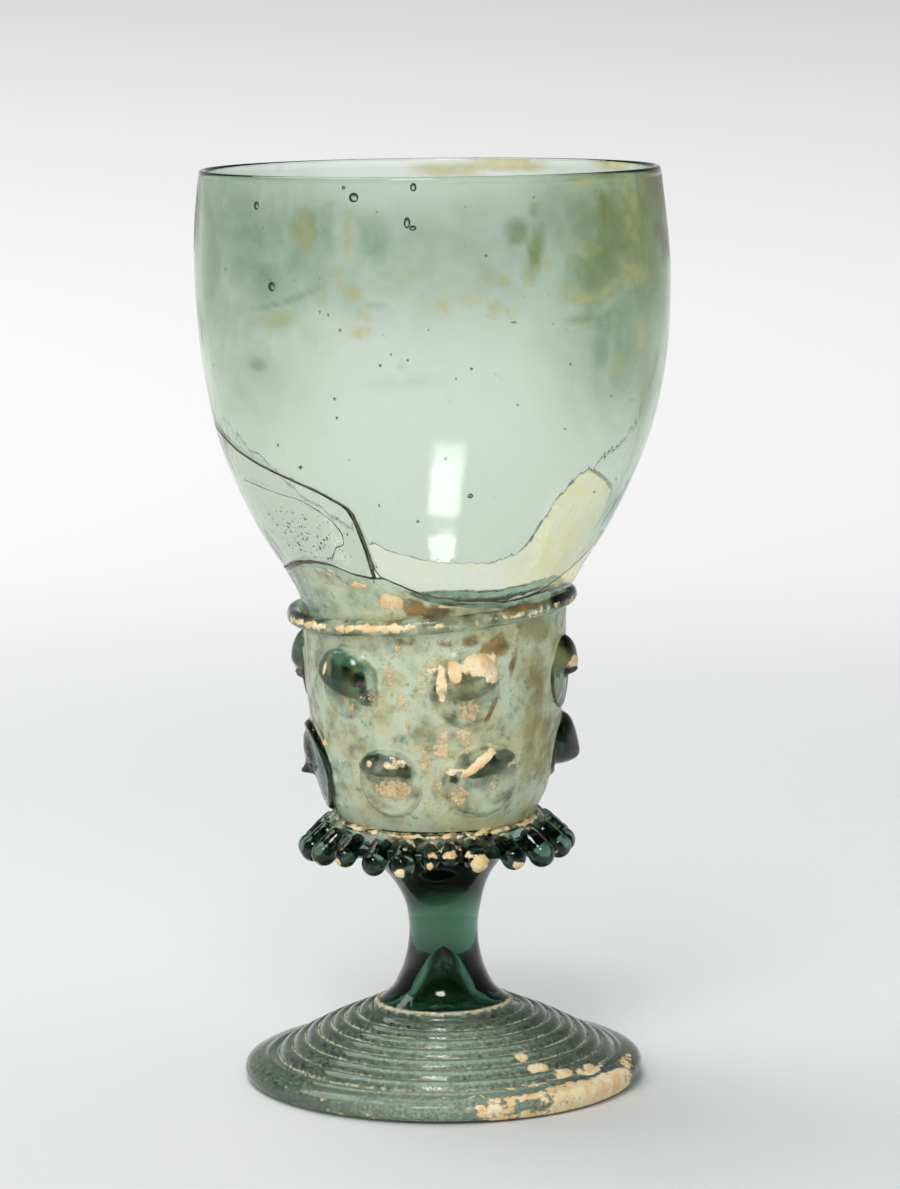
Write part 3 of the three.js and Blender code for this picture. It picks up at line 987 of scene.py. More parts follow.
@dataclass(frozen=True)
class Bubble:
    """A blown-in bubble in the wall: where it is, its width, and its height over its width."""

    angle: float
    height: float
    width: float
    stretch: float = 1.0

    def skin(self) -> tuple[list[Vector], list[tuple[int, ...]]]:
        """Makes the bubble's surface.

        Returns:
            Its points, and its faces turned inwards.
        """
        fineness = 2 if self.width > 0.4 else 1
        shape = bmesh.new()
        bmesh.ops.create_icosphere(shape, subdivisions=fineness, radius=0.5)
        turn = radians(self.angle)
        middle = (WALL.outer(self.angle, self.height) + WALL.inner(self.angle, self.height)) / 2
        thick = WALL.outer(self.angle, self.height) - WALL.inner(self.angle, self.height)
        centre = STANCE.place(self.angle, middle, self.height)
        deep = min(self.width, 0.9 * thick)
        size = Matrix.Diagonal((self.width * MM, deep * MM, self.width * self.stretch * MM))
        facing = Matrix.Rotation(turn, 3, "Z")
        points = [centre + facing @ (size @ vert.co) for vert in shape.verts]
        faces = [tuple(v.index for v in reversed(face.verts)) for face in shape.faces]
        shape.free()
        return points, faces


def add_bubbles(mesh: Mesh, bubbles: Sequence[Bubble]) -> Mesh:
    """Mesh with hollow bubbles inside its wall.

    Args:
        mesh: closed mesh of the wall.
        bubbles: the bubbles to put in.

    Returns:
        The new mesh.
    """
    points = [point.co.copy() for point in mesh.vertices]
    faces = [tuple(face.vertices) for face in mesh.polygons]
    for bubble in bubbles:
        more, sides = bubble.skin()
        first = len(points)
        points.extend(more)
        faces.extend(tuple(first + i for i in side) for side in sides)
    joined = bpy.data.meshes.new(mesh.name)
    joined.from_pydata(points, [], faces)
    return joined


@dataclass(frozen=True)
class WallPiece:
    """A piece of the bowl's wall between a lower and an upper edge."""

    lower: Edge
    upper: Edge
    angles: Sequence[float]
    rows: int
    rim: float = 0.0
    whole: bool = False

    def loop(self, angle: float) -> list[Vector]:
        """Section of the wall, up the outside and down the inside.

        Args:
            angle: degrees from the front.

        Returns:
            The points of the closed section.
        """
        low, high = self.lower(angle), self.upper(angle)
        top = high - self.rim
        there = angle - BREAKS.swerve(angle)
        under = self.lower(there) - BREAKS.lag(angle, low)
        over = top if self.rim else self.upper(there) - BREAKS.lag(angle, high)
        shares = [row / self.rows for row in range(self.rows + 1)]
        outer = [(WALL.outer(angle, z), z) for z in (mix(under, over, share) for share in shares)]
        inner = [(WALL.inner(angle, z), z) for z in (mix(low, top, share) for share in reversed(shares))]
        lip = []
        if self.rim:
            middle = (outer[-1][0] + inner[0][0]) / 2
            half = (outer[-1][0] - inner[0][0]) / 2
            for turn in (25, 50, 75, 105, 130, 155):
                across, up = cos(radians(turn)), sin(radians(turn))
                lip.append((middle + half * across, top + self.rim * up))
        return [STANCE.place(angle, radius, height) for radius, height in [*outer, *lip, *inner]]

    def mesh(self, name: str) -> Mesh:
        """Makes the piece.

        Args:
            name: name of the mesh.

        Returns:
            The closed mesh.
        """
        rings = [self.loop(angle) for angle in self.angles]
        skin = loft(rings, joined=self.whole)
        if not self.whole:
            size = len(rings[0])
            for first in (0, len(skin.points) - size):
                for i in range(size // 2 - 1):
                    j = size - 1 - i
                    skin.faces.append((first + i, first + i + 1, first + j - 1, first + j))
        return skin.to_mesh(name)


def spread(start: float, end: float, step: float) -> list[float]:
    """Angles from start to end, about a step apart."""
    count = max(1, round((end - start) / step))
    return [mix(start, end, i / count) for i in range(count + 1)]


@dataclass
class Bowl:
    """The bowl: a large shard, a side shard and two resin fills."""

    rim_height: float = 165.0
    rim_rounding: float = 0.55
    column_step: float = 1.5
    bubbles: tuple[Bubble, ...] = (
        Bubble(-18.0, 161.6, 1.75, 0.98), Bubble(-45.8, 159.9, 1.25, 1.2), Bubble(-40.5, 146.3, 1.6, 1.1),
        Bubble(-3.6, 163.3, 1.15, 1.3), Bubble(-5.2, 157.4, 1.15, 1.7), Bubble(-3.9, 156.5, 1.3, 0.75),
        Bubble(10.4, 110.5, 1.0, 0.9), Bubble(-20.6, 163.2, 0.7), Bubble(-12.6, 133.4, 0.5),
        Bubble(-6, 134.3, 0.45), Bubble(-24.6, 127.5, 0.55), Bubble(-24.4, 124.2, 0.5),
        Bubble(-4.4, 106, 0.55), Bubble(13, 151.7, 0.5), Bubble(9, 132.7, 0.5),
    )
    seeds: int = 190
    resin_seeds: int = 170
    wall_rows: int = 64
    fill_rows: int = 24
    thinnest: float = 0.05
    # Spots of smoke film; the large ones near -100, -82 and 69 degrees are painted shade at the bowl's
    # outline.
    smoke_and_shade_spots: tuple[Blotch, ...] = spots(
        (-24.5, 155.6, 1.9, 5.4, 0.7), (-12.6, 155.1, 4.4, 4, 0.62), (-82, 158, 8, 7, 1.5),
        (-100, 158, 8, 7, 1.2), (20.6, 155.7, 3, 2.3, 0.95), (-39.3, 143.3, 2.6, 1.4, 0.75, 6.6),
        (69, 152.7, 7, 7, 1.3), (-30.9, 145.3, 2.2, 1.5, 0.75, 3), (-13.3, 143.6, 2.2, 1.4, 0.8, -2.6),
        (-47.3, 132.7, 3.2, 1.2, 0.7), (46, 135.8, 5, 3.6, 0.5), (40, 140.3, 8, 1.1, 0.8),
        (56, 141.3, 6, 0.9, 0.7), (25.1, 152, 2, 4.8, 0.6, 0.3), (-30, 151, 9, 4.5, 0.42),
        (-44, 151, 7, 5, 0.35), (-8, 130.5, 10, 1.5, 0.22, 3),
    )
    olive_spots: tuple[Blotch, ...] = spots(
        (-30.2, 156.6, 4.4, 3, 0.75), (25.1, 152, 2.1, 4.8, 1, 0.3), (25.8, 159.1, 1.8, 1.2, 0.8),
        (20.6, 155.7, 2.9, 2.2, 0.6), (46.3, 158.8, 1.9, 2.8, 0.85), (59.6, 158, 3.2, 6.8, 0.95),
        (41.8, 148.6, 9, 5.2, 0.42), (-42, 140.2, 8, 2, 0.45, 1), (-47.3, 132.7, 3, 1.2, 0.5),
        (-72, 138, 8, 6, 0.3), (67, 126, 5, 9, 0.35), (-83, 158, 6, 6, 0.8), (40, 140.3, 7, 1, 0.4),
        (158.9, 163.7, 13, 1.2, 0.7), (123.4, 164.3, 9, 1, 0.9), (175.4, 163, 9, 1.3, 0.6),
    )
    gold_spots: tuple[Blotch, ...] = spots(
        (-19.6, 155.5, 1.5, 4.8, 0.6), (-21.8, 148.6, 2.2, 1.2, 0.7), (-18.5, 145.8, 3, 1.3, 0.9),
        (-15.7, 141.9, 2.4, 1.3, 0.8), (-17, 139, 3, 1.1, 0.8), (-38.4, 141, 4, 1.5, 0.8, 2),
        (-4.8, 148.7, 1.4, 1, 0.7), (2.7, 143.6, 1.8, 1.4, 0.8), (9, 144.4, 3, 1.6, 0.6),
        (-7.5, 133.3, 1.3, 0.9, 1), (55.9, 147.2, 6.4, 2.4, 1.05), (39.9, 143.9, 8.8, 1, 0.95),
        (33, 145.4, 1.8, 1.8, 0.7), (47, 145.6, 2.8, 1.3, 0.9, 2), (41.3, 163.6, 4, 1, 1),
        (28, 150.5, 1.2, 2.4, 0.7), (23.2, 148.2, 1.4, 1.6, 0.8), (40.5, 152.2, 5, 0.9, 0.8, -1.5),
        (14.5, 142.8, 2, 1.8, 0.9), (18.5, 142.3, 2.6, 1.1, 0.7), (13.5, 147.5, 2, 1.6, 0.6),
        (17, 147.4, 1.8, 1.4, 0.7), (-26, 145, 2, 2, 0.4), (60, 136.6, 2, 3, 0.8),
        (158.9, 163.7, 12, 1.2, 0.9), (123.4, 164.4, 8, 1, 1), (175.4, 162.8, 11, 1.5, 0.8),
        (50, 132, 3, 2.2, 0.5), (-30.5, 155.6, 3.2, 3.4, 0.7), (57, 157, 5, 6, 0.55), (66, 161, 4, 2.5, 0.6),
    )

    def sprinkle(self) -> list[Bubble]:
        """The named bubbles and a scatter of pin-head ones.

        Returns:
            The bubbles of the large shard.
        """
        draw = random.Random(41)
        found = list(self.bubbles)
        while len(found) < self.seeds + len(self.bubbles):
            angle, height = draw.uniform(-180, 180), draw.uniform(104, 163)
            width = 0.16 + 0.34 * draw.random() ** 3
            if BREAKS.bowl_edge(angle) + 1.5 < height:
                found.append(Bubble(angle, height, width, draw.uniform(0.8, 1.7)))
        return found

    def speckle(self) -> list[Bubble]:
        """Fine bubbles in a cloud in the clear fill.

        Returns:
            The bubbles of the front fill.
        """
        draw = random.Random(43)
        found: list[Bubble] = []
        while len(found) < self.resin_seeds:
            angle, height = draw.gauss(-44, 9), draw.gauss(102.6, 2.9)
            if -76 < angle < -25 and self.fill_base(angle) + 0.5 < height < self.fill_top(angle) - 0.5:
                found.append(Bubble(angle, height, 0.2 + 0.26 * draw.random() ** 2, draw.uniform(0.7, 1.3)))
        return found

    def smoke_and_shade_film(self, angle: float, radius: float, height: float) -> float:
        """Grey-green film on the glass, with painted shade added where the bowl is seen edge on from the
        front.

        Args:
            angle: degrees from the front.
            radius: millimetres from the axis; not used.
            height: millimetres over the floor.

        Returns:
            How much of it lies there, from 0 to 1.
        """
        level = height + 2.5 * ripple(21, angle, height, 1.4)
        belt = 0.34 * ease(138.5, 145.5, level) + 0.28 * ease(124, 143, level)
        back = ease(80, 110, abs(angle))
        belt *= 1 - mix(0.55, 0.95, back) * ease(155, 162, level)
        # The sides, corners and shade terms are painted shade towards the bowl's outline as seen from the
        # front; the belt is film.
        aside = min(abs(angle), 180 - abs(angle))
        sides = 0.33 * ease(20, 58, aside) * ease(110, 132, level)
        corners = 0.95 * bell(aside, 90, 34) * ease(134, 152, level)
        shade = 0.38 * bell(angle, 50, 28) * ease(118, 130, level)
        return clamp(0.6 * belt + sides + corners + shade + 0.7 * strongest(self.smoke_and_shade_spots, angle, height))

    def olive_film(self, angle: float, radius: float, height: float) -> float:
        """Olive film on the glass.

        Args:
            angle: degrees from the front.
            radius: millimetres from the axis; not used.
            height: millimetres over the floor.

        Returns:
            How much of it lies there, from 0 to 1.
        """
        right = 0.7 * ease(22, 62, angle) * (1 - ease(120, 165, angle)) + 0.55 * bell(angle, 84, 26)
        ragged = height + 3 * ripple(23, angle, height, 2)
        climb = mix(0.48 * ease(116, 130, height), 1, ease(136, 151, ragged))
        left = 0.3 * ease(55, 100, -angle) * (1 - ease(120, 165, -angle)) * climb
        clean = 1 - 0.85 * ease(158, 162.5, height) * ease(95, 112, abs(angle))
        stains = 0.8 * strongest(self.olive_spots, angle, height)
        return clamp((0.66 * right * climb + left) * clean + stains)

    def gold_film(self, angle: float, radius: float, height: float) -> float:
        """How much gold film lies on the glass at a place."""
        side = 0.3 * ease(32, 56, angle) * (1 - ease(72, 96, angle)) * ease(145, 152, height)
        return clamp(strongest(self.gold_spots, angle, height) + side)

    def yellowing(self, angle: float, radius: float, height: float) -> float:
        """How far the back fill has yellowed: most at its right, in smears below.

        Args:
            angle: degrees from the front.
            radius: millimetres from the axis; not used.
            height: millimetres over the floor.

        Returns:
            The share of yellow there.
        """
        around = angle % 360
        right = 1 - ease(120, 160, around)
        smear = 0.3 * bell(height, 90.6 + 0.06 * (180 - around), 2.2) * bell(around, 172, 30)
        return clamp(0.95 * right + smear + 0.05)

    def build(self, effects: Effects) -> Piece:
        """Makes the two shards and the two fills, and dresses them.

        Args:
            effects: the shared node groups.

        Returns:
            The large shard.
        """
        stains_and_shade = {"smoke_and_shade": self.smoke_and_shade_film, "olive": self.olive_film, "gold": self.gold_film}
        yellowed = {"smoke_and_shade": nothing, "olive": nothing, "gold": self.yellowing}
        glass = BOWL_GLASS.material(effects)
        whole = [-180 + self.column_step * i for i in range(round(360 / self.column_step))]
        shard = WallPiece(
            BREAKS.bowl_edge, lambda angle: self.rim_height, whole, self.wall_rows, self.rim_rounding, True,
        )
        shard_mesh = add_bubbles(shard.mesh("bowl"), self.sprinkle())
        large = self.finish("bowl_glass", shard_mesh, glass, "bowl_glass", "bowl", stains_and_shade)
        side = self.piece(
            BREAKS.side_edge, lambda angle: self.under(BREAKS.bowl_edge, angle), BREAKS.side_ends,
        )
        self.finish("bowl_side_glass", side, glass, "bowl_glass", "bowl_shard_side", stains_and_shade)
        front = add_bubbles(self.piece(self.fill_base, self.fill_top, BREAKS.front_fill_ends), self.speckle())
        clear = CLEAR_RESIN.material(effects)
        self.finish("fill_front_resin", front, clear, "clear_resin", "bowl_fill_front", stains_and_shade)
        back = self.piece(self.fill_base, self.fill_top, BREAKS.back_fill_ends)
        yellow = YELLOW_RESIN.material(effects)
        self.finish("fill_back_resin", back, yellow, "yellow_resin", "bowl_fill_back", yellowed)
        return large

    def piece(self, lower: Edge, upper: Edge, ends: Pair) -> Mesh:
        """Mesh of a piece of the wall between two edges and two angles."""
        return WallPiece(lower, upper, spread(*ends, self.column_step), self.fill_rows).mesh("piece")

    def under(self, edge: Edge, angle: float) -> float:
        """Height just under an edge, that keeps the gap on steep stretches too."""
        return min(edge(angle + side) for side in (-0.75, 0, 0.75)) - BREAKS.joint(angle)

    def fill_base(self, angle: float) -> float:
        """Lower edge of the fills, over the stump."""
        return BREAKS.stump_edge(angle) + BREAKS.joint(angle)

    def fill_top(self, angle: float) -> float:
        """Upper edge of the fills, under the shard above them.

        Args:
            angle: degrees from the front.

        Returns:
            Its height.
        """
        low, high = BREAKS.side_ends
        edge = BREAKS.side_edge if low <= angle <= high else BREAKS.bowl_edge
        return max(self.under(edge, angle), self.fill_base(angle) + self.thinnest)

    def finish(self, name: str, mesh: Mesh, material: Material, slot: str, node: str,
               films: dict[str, Film]) -> Piece:
        """Paints the films and puts the piece in the scene.

        Args:
            name: name of the piece.
            mesh: its mesh.
            material: its finish.
            slot: the record's material slot; not used.
            node: name of the node that it stands for.
            films: the films that stain it, painted shade among them.

        Returns:
            The piece.
        """
        paint(mesh, films)
        piece = make_object(name, mesh)
        dress(piece, material, [node])
        return piece


@dataclass(frozen=True)
class Prunt:
    """A blob of hot glass laid on the wall: a thin disc under a hood that was drawn down to a beak."""

    name: str
    angle: float
    height: float
    half_width: float = 6.1
    half_height: float = 6.9
    skin: float = 0.5
    hood: tuple[float, float, float, float] = (0.0, 1.4, 5.3, 5.0)
    proud: float = 3.4
    lip: float = 0.62
    tilt: float = 0.0
    beak: tuple[float, float, float] = (0.4, -2.6, 1.6)
    beak_proud: float = 3.0
    droop: float = 0.07
    depth: float = 0.9
    rings: int = 24
    sectors: int = 48

    def rise(self, u: float, v: float) -> float:
        """How far the blob stands out at a place on the wall.

        Args:
            u: millimetres to the right of its middle.
            v: millimetres above its middle.

        Returns:
            The height over the wall.
        """
        reach = hypot(u / self.half_width, v / self.half_height)
        disc = self.skin * (1 - ease(0.84, 1.0, reach)) + 0.22 * bell(reach, 0.88, 0.1)
        hood_u, hood_v, wide, tall = self.hood
        turn = radians(self.tilt)
        a, b = u - hood_u, v - hood_v
        x = a * cos(turn) + b * sin(turn)
        y = b * cos(turn) - a * sin(turn)
        below = 1 - ease(-0.5, 0.9, y)
        tall_here = tall * mix(1.0, self.lip, below)
        swell = 1 - (x / wide) ** 2 - (y / tall_here) ** 2
        dome = self.proud * max(0.0, swell) ** mix(0.62, 0.42, below)
        tip_u, tip_v, thick = self.beak
        away = hypot(u - tip_u, v - tip_v) / thick
        spike = self.beak_proud * exp(-(away**2) * 0.9) * (1 - ease(1.5, 2.3, away))
        body = max(dome, spike) + 0.35 * min(dome, spike)
        return max(disc, body) + 0.15 * min(disc, body) * (1 - ease(0.8, 1.0, reach))

    def point(self, u: float, v: float, out: float) -> Vector:
        """Point of the frame over a place on the wall.

        Args:
            u: millimetres to the right of the prunt's middle.
            v: millimetres above its middle.
            out: millimetres out from the wall.

        Returns:
            The point, drawn down with its distance from the wall.
        """
        height = self.height + v
        radius = WALL.outer_curve(height) + out
        angle = self.angle + degrees(u / (WALL.outer_curve(height) + 0.3))
        return STANCE.place(angle, radius, height - self.droop * max(out, 0) ** 2)

    def mesh(self) -> Mesh:
        """Makes the prunt.

        Returns:
            A closed mesh that reaches into the wall.
        """
        turns = [2 * pi * i / self.sectors for i in range(self.sectors)]
        hood_u, hood_v = self.hood[0], self.hood[1]
        rows: list[list[Vector]] = [[self.point(hood_u, hood_v, self.rise(hood_u, hood_v))]]
        for ring in range(1, self.rings + 1):
            share = ring / self.rings
            row = []
            for turn in turns:
                u = mix(hood_u, 0, share) + share * self.half_width * sin(turn)
                v = mix(hood_v, 0, share) + share * self.half_height * cos(turn)
                row.append(self.point(u, v, self.rise(u, v) if ring < self.rings else 0.0))
            rows.append(row)
        for share in (1.0, 0.5):
            wide, tall = share * self.half_width, share * self.half_height
            rows.append([self.point(wide * sin(turn), tall * cos(turn), -self.depth) for turn in turns])
        rows.append([self.point(0, 0, -self.depth)])
        return loft(rows).to_mesh(self.name)


@dataclass(frozen=True)
class Knob:
    """A drop of the frill: where its bulb is, and the bulb's radius."""

    angle: float
    height: float = 43.4
    size: float = 2.0
    reach: float = 22.9


@dataclass
class Vessel:
    """The fused lower part: foot, stem, frill, shank, neck thread and prunts, as one skin of glass."""

    columns: int = 240
    kick: tuple[Pair, ...] = (
        (0, 24.2), (1.2, 22.9), (2.2, 20.9), (3.0, 18.8), (4.0, 16.5), (5.4, 14.0), (8.2, 11.3), (12, 9.9),
    )
    underside: tuple[Pair, ...] = ((12, 9.9), (21, 5.8), (28.4, 2.4), (30.6, 0.7))
    rest_ring: Pair = (31.2, 33.6)
    rim: tuple[Pair, ...] = ((33.6, 0), (35.2, 0.65), (36.1, 2.3), (35.7, 3.5), (34.2, 4.25), (32.4, 4.55))
    cone_top: float = 14.5
    cone_fall: float = 0.485
    cone_radius: float = 12.0
    cone_bulge: float = 0.4
    cone_rows: int = 96
    shank_rows: int = 44
    winding: Pair = (13.6, 30.4)
    winding_turns: float = 7.0
    winding_start: float = 150.0
    groove_depth: float = 0.95
    stem: tuple[Pair, ...] = (
        (11.7, 14.5), (10.5, 15.5), (9.2, 16.8), (8.3, 18.4), (7.2, 21), (6.27, 25.9), (6.5, 30.5),
        (7.53, 34.3), (9.3, 37.6), (11.4, 40.2), (13.6, 43.0), (16.1, 46.0), (17.9, 49.3), (19.6, 52.5),
    )
    floor_top: float = 46.3
    floor_spring: float = 52.5
    collar_height: float = 87.1
    collar_rise: float = 1.7
    collar_drop: float = 0.67
    collar_half_width: float = 1.4
    collar_half_height: float = 1.45
    collar_shift: float = -0.7
    collar_sag: float = 2.5
    collar_thinning: float = 0.4
    collar_sides: int = 18
    frill_band: tuple[Pair, ...] = (
        (16.4, 48.6), (15.9, 46.4), (17.2, 44.4), (19.2, 43.7), (21.0, 43.6), (22.0, 44.3), (21.8, 45.4),
        (20.5, 46.9), (19.2, 48.2), (18.0, 49.3),
    )
    finger_root: Pair = (18.9, 47.2)
    band_dip: float = 1.1
    front_knobs: tuple[Knob, ...] = (
        Knob(-90, 42.8, 2.25, 22.9), Knob(-76, 43.3, 2.35, 22.9), Knob(-62, 43.5, 2.3, 22.8),
        Knob(-45, 44.0, 2.0), Knob(-29, 43.4, 2.2), Knob(-15.5, 43.4, 2.35), Knob(-3, 44.2, 1.6, 22.6),
        Knob(6, 44.6, 1.45, 22.5), Knob(18, 44.3, 2.3, 22.8), Knob(36.5, 43.9, 2.2), Knob(54.5, 43.5, 2.4),
        Knob(73, 43.6, 2.2), Knob(89, 43.5, 2.2),
    )
    back_knobs: int = 11
    neck: tuple[Pair, ...] = ((0.0, 0.55), (0.1, 0.86), (0.28, 0.94), (0.45, 0.94), (0.6, 0.94), (0.74, 0.97))
    drop_sides: int = 20
    upper_prunts: tuple[Prunt, ...] = (
        Prunt("prunt_upper_1", -40.5, 75.5, 6.9, 6.8, hood=(-0.5, 1.4, 6.1, 5.2), tilt=-27, proud=3.9,
              lip=0.56, beak=(4.8, -2.2, 1.25), beak_proud=3.2),
        Prunt("prunt_upper_2", 13.2, 75.0, 6.8, 7.1, hood=(0.9, 2.1, 5.2, 4.6), tilt=16, lip=0.8, proud=3.2,
              beak=(-5.2, 0.6, 1.2), beak_proud=1.9),
        Prunt("prunt_upper_3", 74.5, 75.2, hood=(0.4, 3.0, 4.6, 3.8), proud=2.6, beak=(1.6, 0.6, 1.3),
              beak_proud=2.4),
        Prunt("prunt_upper_4", 134.5, 75.4), Prunt("prunt_upper_5", 194.5, 75.2, tilt=20),
        Prunt("prunt_upper_6", 254.5, 75.4, hood=(0, 2.4, 5.0, 4.4), lip=0.85, beak=(-0.4, -1.6, 1.6),
              proud=3.3),
    )
    lower_prunts: tuple[Prunt, ...] = (
        Prunt("prunt_lower_1", -22.9, 57.9, 6.3, 6.6, hood=(-0.3, 3.2, 5.3, 3.0), lip=0.7, proud=2.7,
              beak=(3.6, 2.0, 1.3), beak_proud=1.9),
        Prunt("prunt_lower_2", 22.6, 58.0, 7.9, 6.9, hood=(1.2, 3.4, 5.6, 3.0), tilt=20, lip=0.7, proud=2.6,
              beak=(-5.4, 1.0, 1.1), beak_proud=2.0),
        Prunt("prunt_lower_3", 88, 61.4, 5.8, 6.2, hood=(0, 0.9, 5.0, 4.9), lip=0.95, proud=3.3,
              beak=(0, -1.0, 2.2), beak_proud=3.0),
        Prunt("prunt_lower_4", 145, 58.2), Prunt("prunt_lower_5", 205, 58.2, tilt=-18),
        Prunt("prunt_lower_6", 277, 58.2, 9.6, 8.8, hood=(-0.6, 2.6, 4.6, 4.8), lip=0.8, proud=2.0, skin=1.15,
              beak=(-0.9, -0.6, 1.3), beak_proud=2.8, depth=1.3),
    )

    def cone(self, radius: float) -> float:
        """Height of the foot's cone at a radius."""
        bulge = self.cone_bulge * bell(radius, 22, 9)
        return self.cone_top - self.cone_fall * (radius - self.cone_radius) + bulge

    def foot_top(self, angle: float, radius: float) -> float:
        """Height of the foot's upper face, with the ridges of its wound thread.

        Args:
            angle: degrees from the front.
            radius: millimetres from the axis.

        Returns:
            The height over the floor.
        """
        start, end = self.winding
        off, along = self.across(angle, radius)
        wound = ease(-0.02, 0.06, along) * (1 - ease(self.winding_turns - 0.12, self.winding_turns, along))
        ridge = max(0.0, 1 - (2 * off) ** 2) ** 0.62 * wound
        sunk = ease(self.cone_radius + 0.3, start - 0.4, radius) * (1 - ease(end - 0.2, end + 1.6, radius))
        return self.cone(radius) - self.groove_depth * sunk * (1 - ridge)

    def rows(self) -> list[Callable[[float], Pair]]:
        """Rows of the skin from the kick's peak round to the shank's floor.

        Returns:
            For each row, what gives its radius and height at an angle.
        """
        fixed: list[Pair] = []
        fixed += smooth_path(self.kick, 1.0)[1:]
        fixed += smooth_path(self.underside, 1.6)[1:]
        fixed += [(radius, 0.0) for radius in self.rest_ring]
        fixed += smooth_path(self.rim, 0.45)[1:]
        made: list[Callable[[float], Pair]] = [lambda angle, p=p: p for p in fixed]
        cone_start, cone_end = 32.2, self.cone_radius + 0.3
        inward = [mix(cone_start, cone_end, i / self.cone_rows) for i in range(self.cone_rows + 1)]
        made += [lambda angle, r=r: (r, self.foot_top(angle, r)) for r in inward]
        made += [lambda angle, p=p: p for p in smooth_path(self.stem, 0.9)]
        shares = [i / self.shank_rows for i in range(self.shank_rows + 1)]
        for share in shares[1:]:
            made.append(lambda angle, t=share: self.wall_at(angle, t, WALL.outer, self.stem[-1][1], 1.0))
        for share in reversed(shares):
            made.append(lambda angle, t=share: self.wall_at(angle, t, WALL.inner, self.floor_spring))
        made += [self.floor(radians(turn)) for turn in range(8, 90, 8)]
        return made

    def wall_at(self, angle: float, share: float, face: Callable[[float, float], float], low: float,
                lag: float = 0.0) -> Pair:
        """Place on a face of the shank's wall.

        Args:
            angle: degrees from the front.
            share: how far up the wall it is, from 0 to 1.
            face: what gives the radius of the face.
            low: height at which the face starts.
            lag: 1 where the face ends lower and further round, as the outer one does.

        Returns:
            Its radius and height.
        """
        edge = BREAKS.stump_edge(angle - lag * BREAKS.swerve(angle))
        height = mix(low, edge - lag * BREAKS.lag(angle, edge), share)
        return face(angle, height), height

    def edge_on_shade(self, angle: float, radius: float, height: float) -> float:
        """Painted shade where thick glass is seen edge on: the frill's drops, the side prunts and the
        thread's ends.

        Args:
            angle: degrees from the front.
            radius: millimetres from the axis.
            height: millimetres over the floor.

        Returns:
            The share of the dark smoke colour painted there as shade.
        """
        belt = ease(38.5, 41.0, height) * (1 - ease(46.6, 48.4, height))
        drops = 0.7 * ease(18.8, 20.6, radius) * belt
        rise = ease(0.5, 1.4, radius - WALL.outer_curve(height)) * ease(50, 54, height)
        return drops + 0.6 * rise * bell(abs(turn_back(angle)), 84, 30)

    def floor(self, turn: float) -> Callable[[float], Pair]:
        """Row of the shank's rounded floor."""
        height = self.floor_spring - (self.floor_spring - self.floor_top) * sin(turn)
        return lambda angle: (WALL.inner(angle, self.floor_spring) * cos(turn), height)

    def body(self) -> Mesh:
        """The turned body with the foot's winding.

        Returns:
            The closed mesh.
        """
        angles = [360 * i / self.columns - 180 for i in range(self.columns)]
        rings: list[list[Vector]] = [[STANCE.place(0, 0, self.kick[0][1])]]
        for row in self.rows():
            rings.append([STANCE.place(angle, *row(angle)) for angle in angles])
        rings.append([STANCE.place(0, 0, self.floor_top)])
        return loft(rings).to_mesh("body")

    def collar_line(self, angle: float) -> float:
        """Line that the neck thread follows.

        Args:
            angle: degrees from the front.

        Returns:
            Height of the thread's middle.
        """
        turn = radians(angle)
        rise = self.collar_rise * sin(turn) - self.collar_drop * cos(turn)
        sag = self.collar_sag * ease(0.2, 1.0, -cos(turn))
        return self.collar_height + rise - sag + 0.12 * ripple(51, angle, 0, 3)

    def collar(self) -> Mesh:
        """The thread round the neck.

        Returns:
            The closed mesh.
        """
        rings = []
        turns = [2 * pi * side / self.collar_sides for side in range(self.collar_sides)]
        for angle in spread(-180, 178.5, 1.5):
            turn = radians(angle)
            height = self.collar_line(angle)
            fat = 1 + 0.1 * ripple(52, angle, 0, 4) - self.collar_thinning * ease(0.2, 1, -cos(turn))
            middle = WALL.outer_curve(height) + self.collar_half_width * 0.55 + self.collar_shift * sin(turn)
            wide, tall = fat * self.collar_half_width, fat * self.collar_half_height
            rings.append([
                STANCE.place(angle, middle + wide * cos(around), height + tall * sin(around))
                for around in turns
            ])
        return loft(rings, joined=True).to_mesh("collar")

    def dip(self, angle: float) -> float:
        """How far the band's root is drawn down at the front."""
        return self.band_dip * max(0.0, cos(radians(angle)))

    def band(self) -> Mesh:
        """The frill's band.

        Returns:
            The closed mesh.
        """
        section = smooth_path([*self.frill_band, self.frill_band[0]], 0.8)[:-1]
        rings = []
        for angle in spread(-180, 177, 3):
            ring = []
            for radius, height in section:
                lower = self.dip(angle) * ease(44.5, 48, height)
                ring.append(STANCE.place(angle, radius + 0.06 * ripple(53, angle, height, 6), height - lower))
            rings.append(ring)
        return loft(rings, joined=True).to_mesh("band")

    def knobs(self) -> list[Knob]:
        """The drops seen in front, and an even row behind.

        Returns:
            Every drop of the frill.
        """
        found = list(self.front_knobs)
        step = 180 / (self.back_knobs + 1)
        for i in range(self.back_knobs):
            size = 2.15 + 0.14 * sin(i * 2.4)
            found.append(Knob(90 + step * (i + 1), 43.4 + 0.4 * sin(i * 1.7), size))
        return found

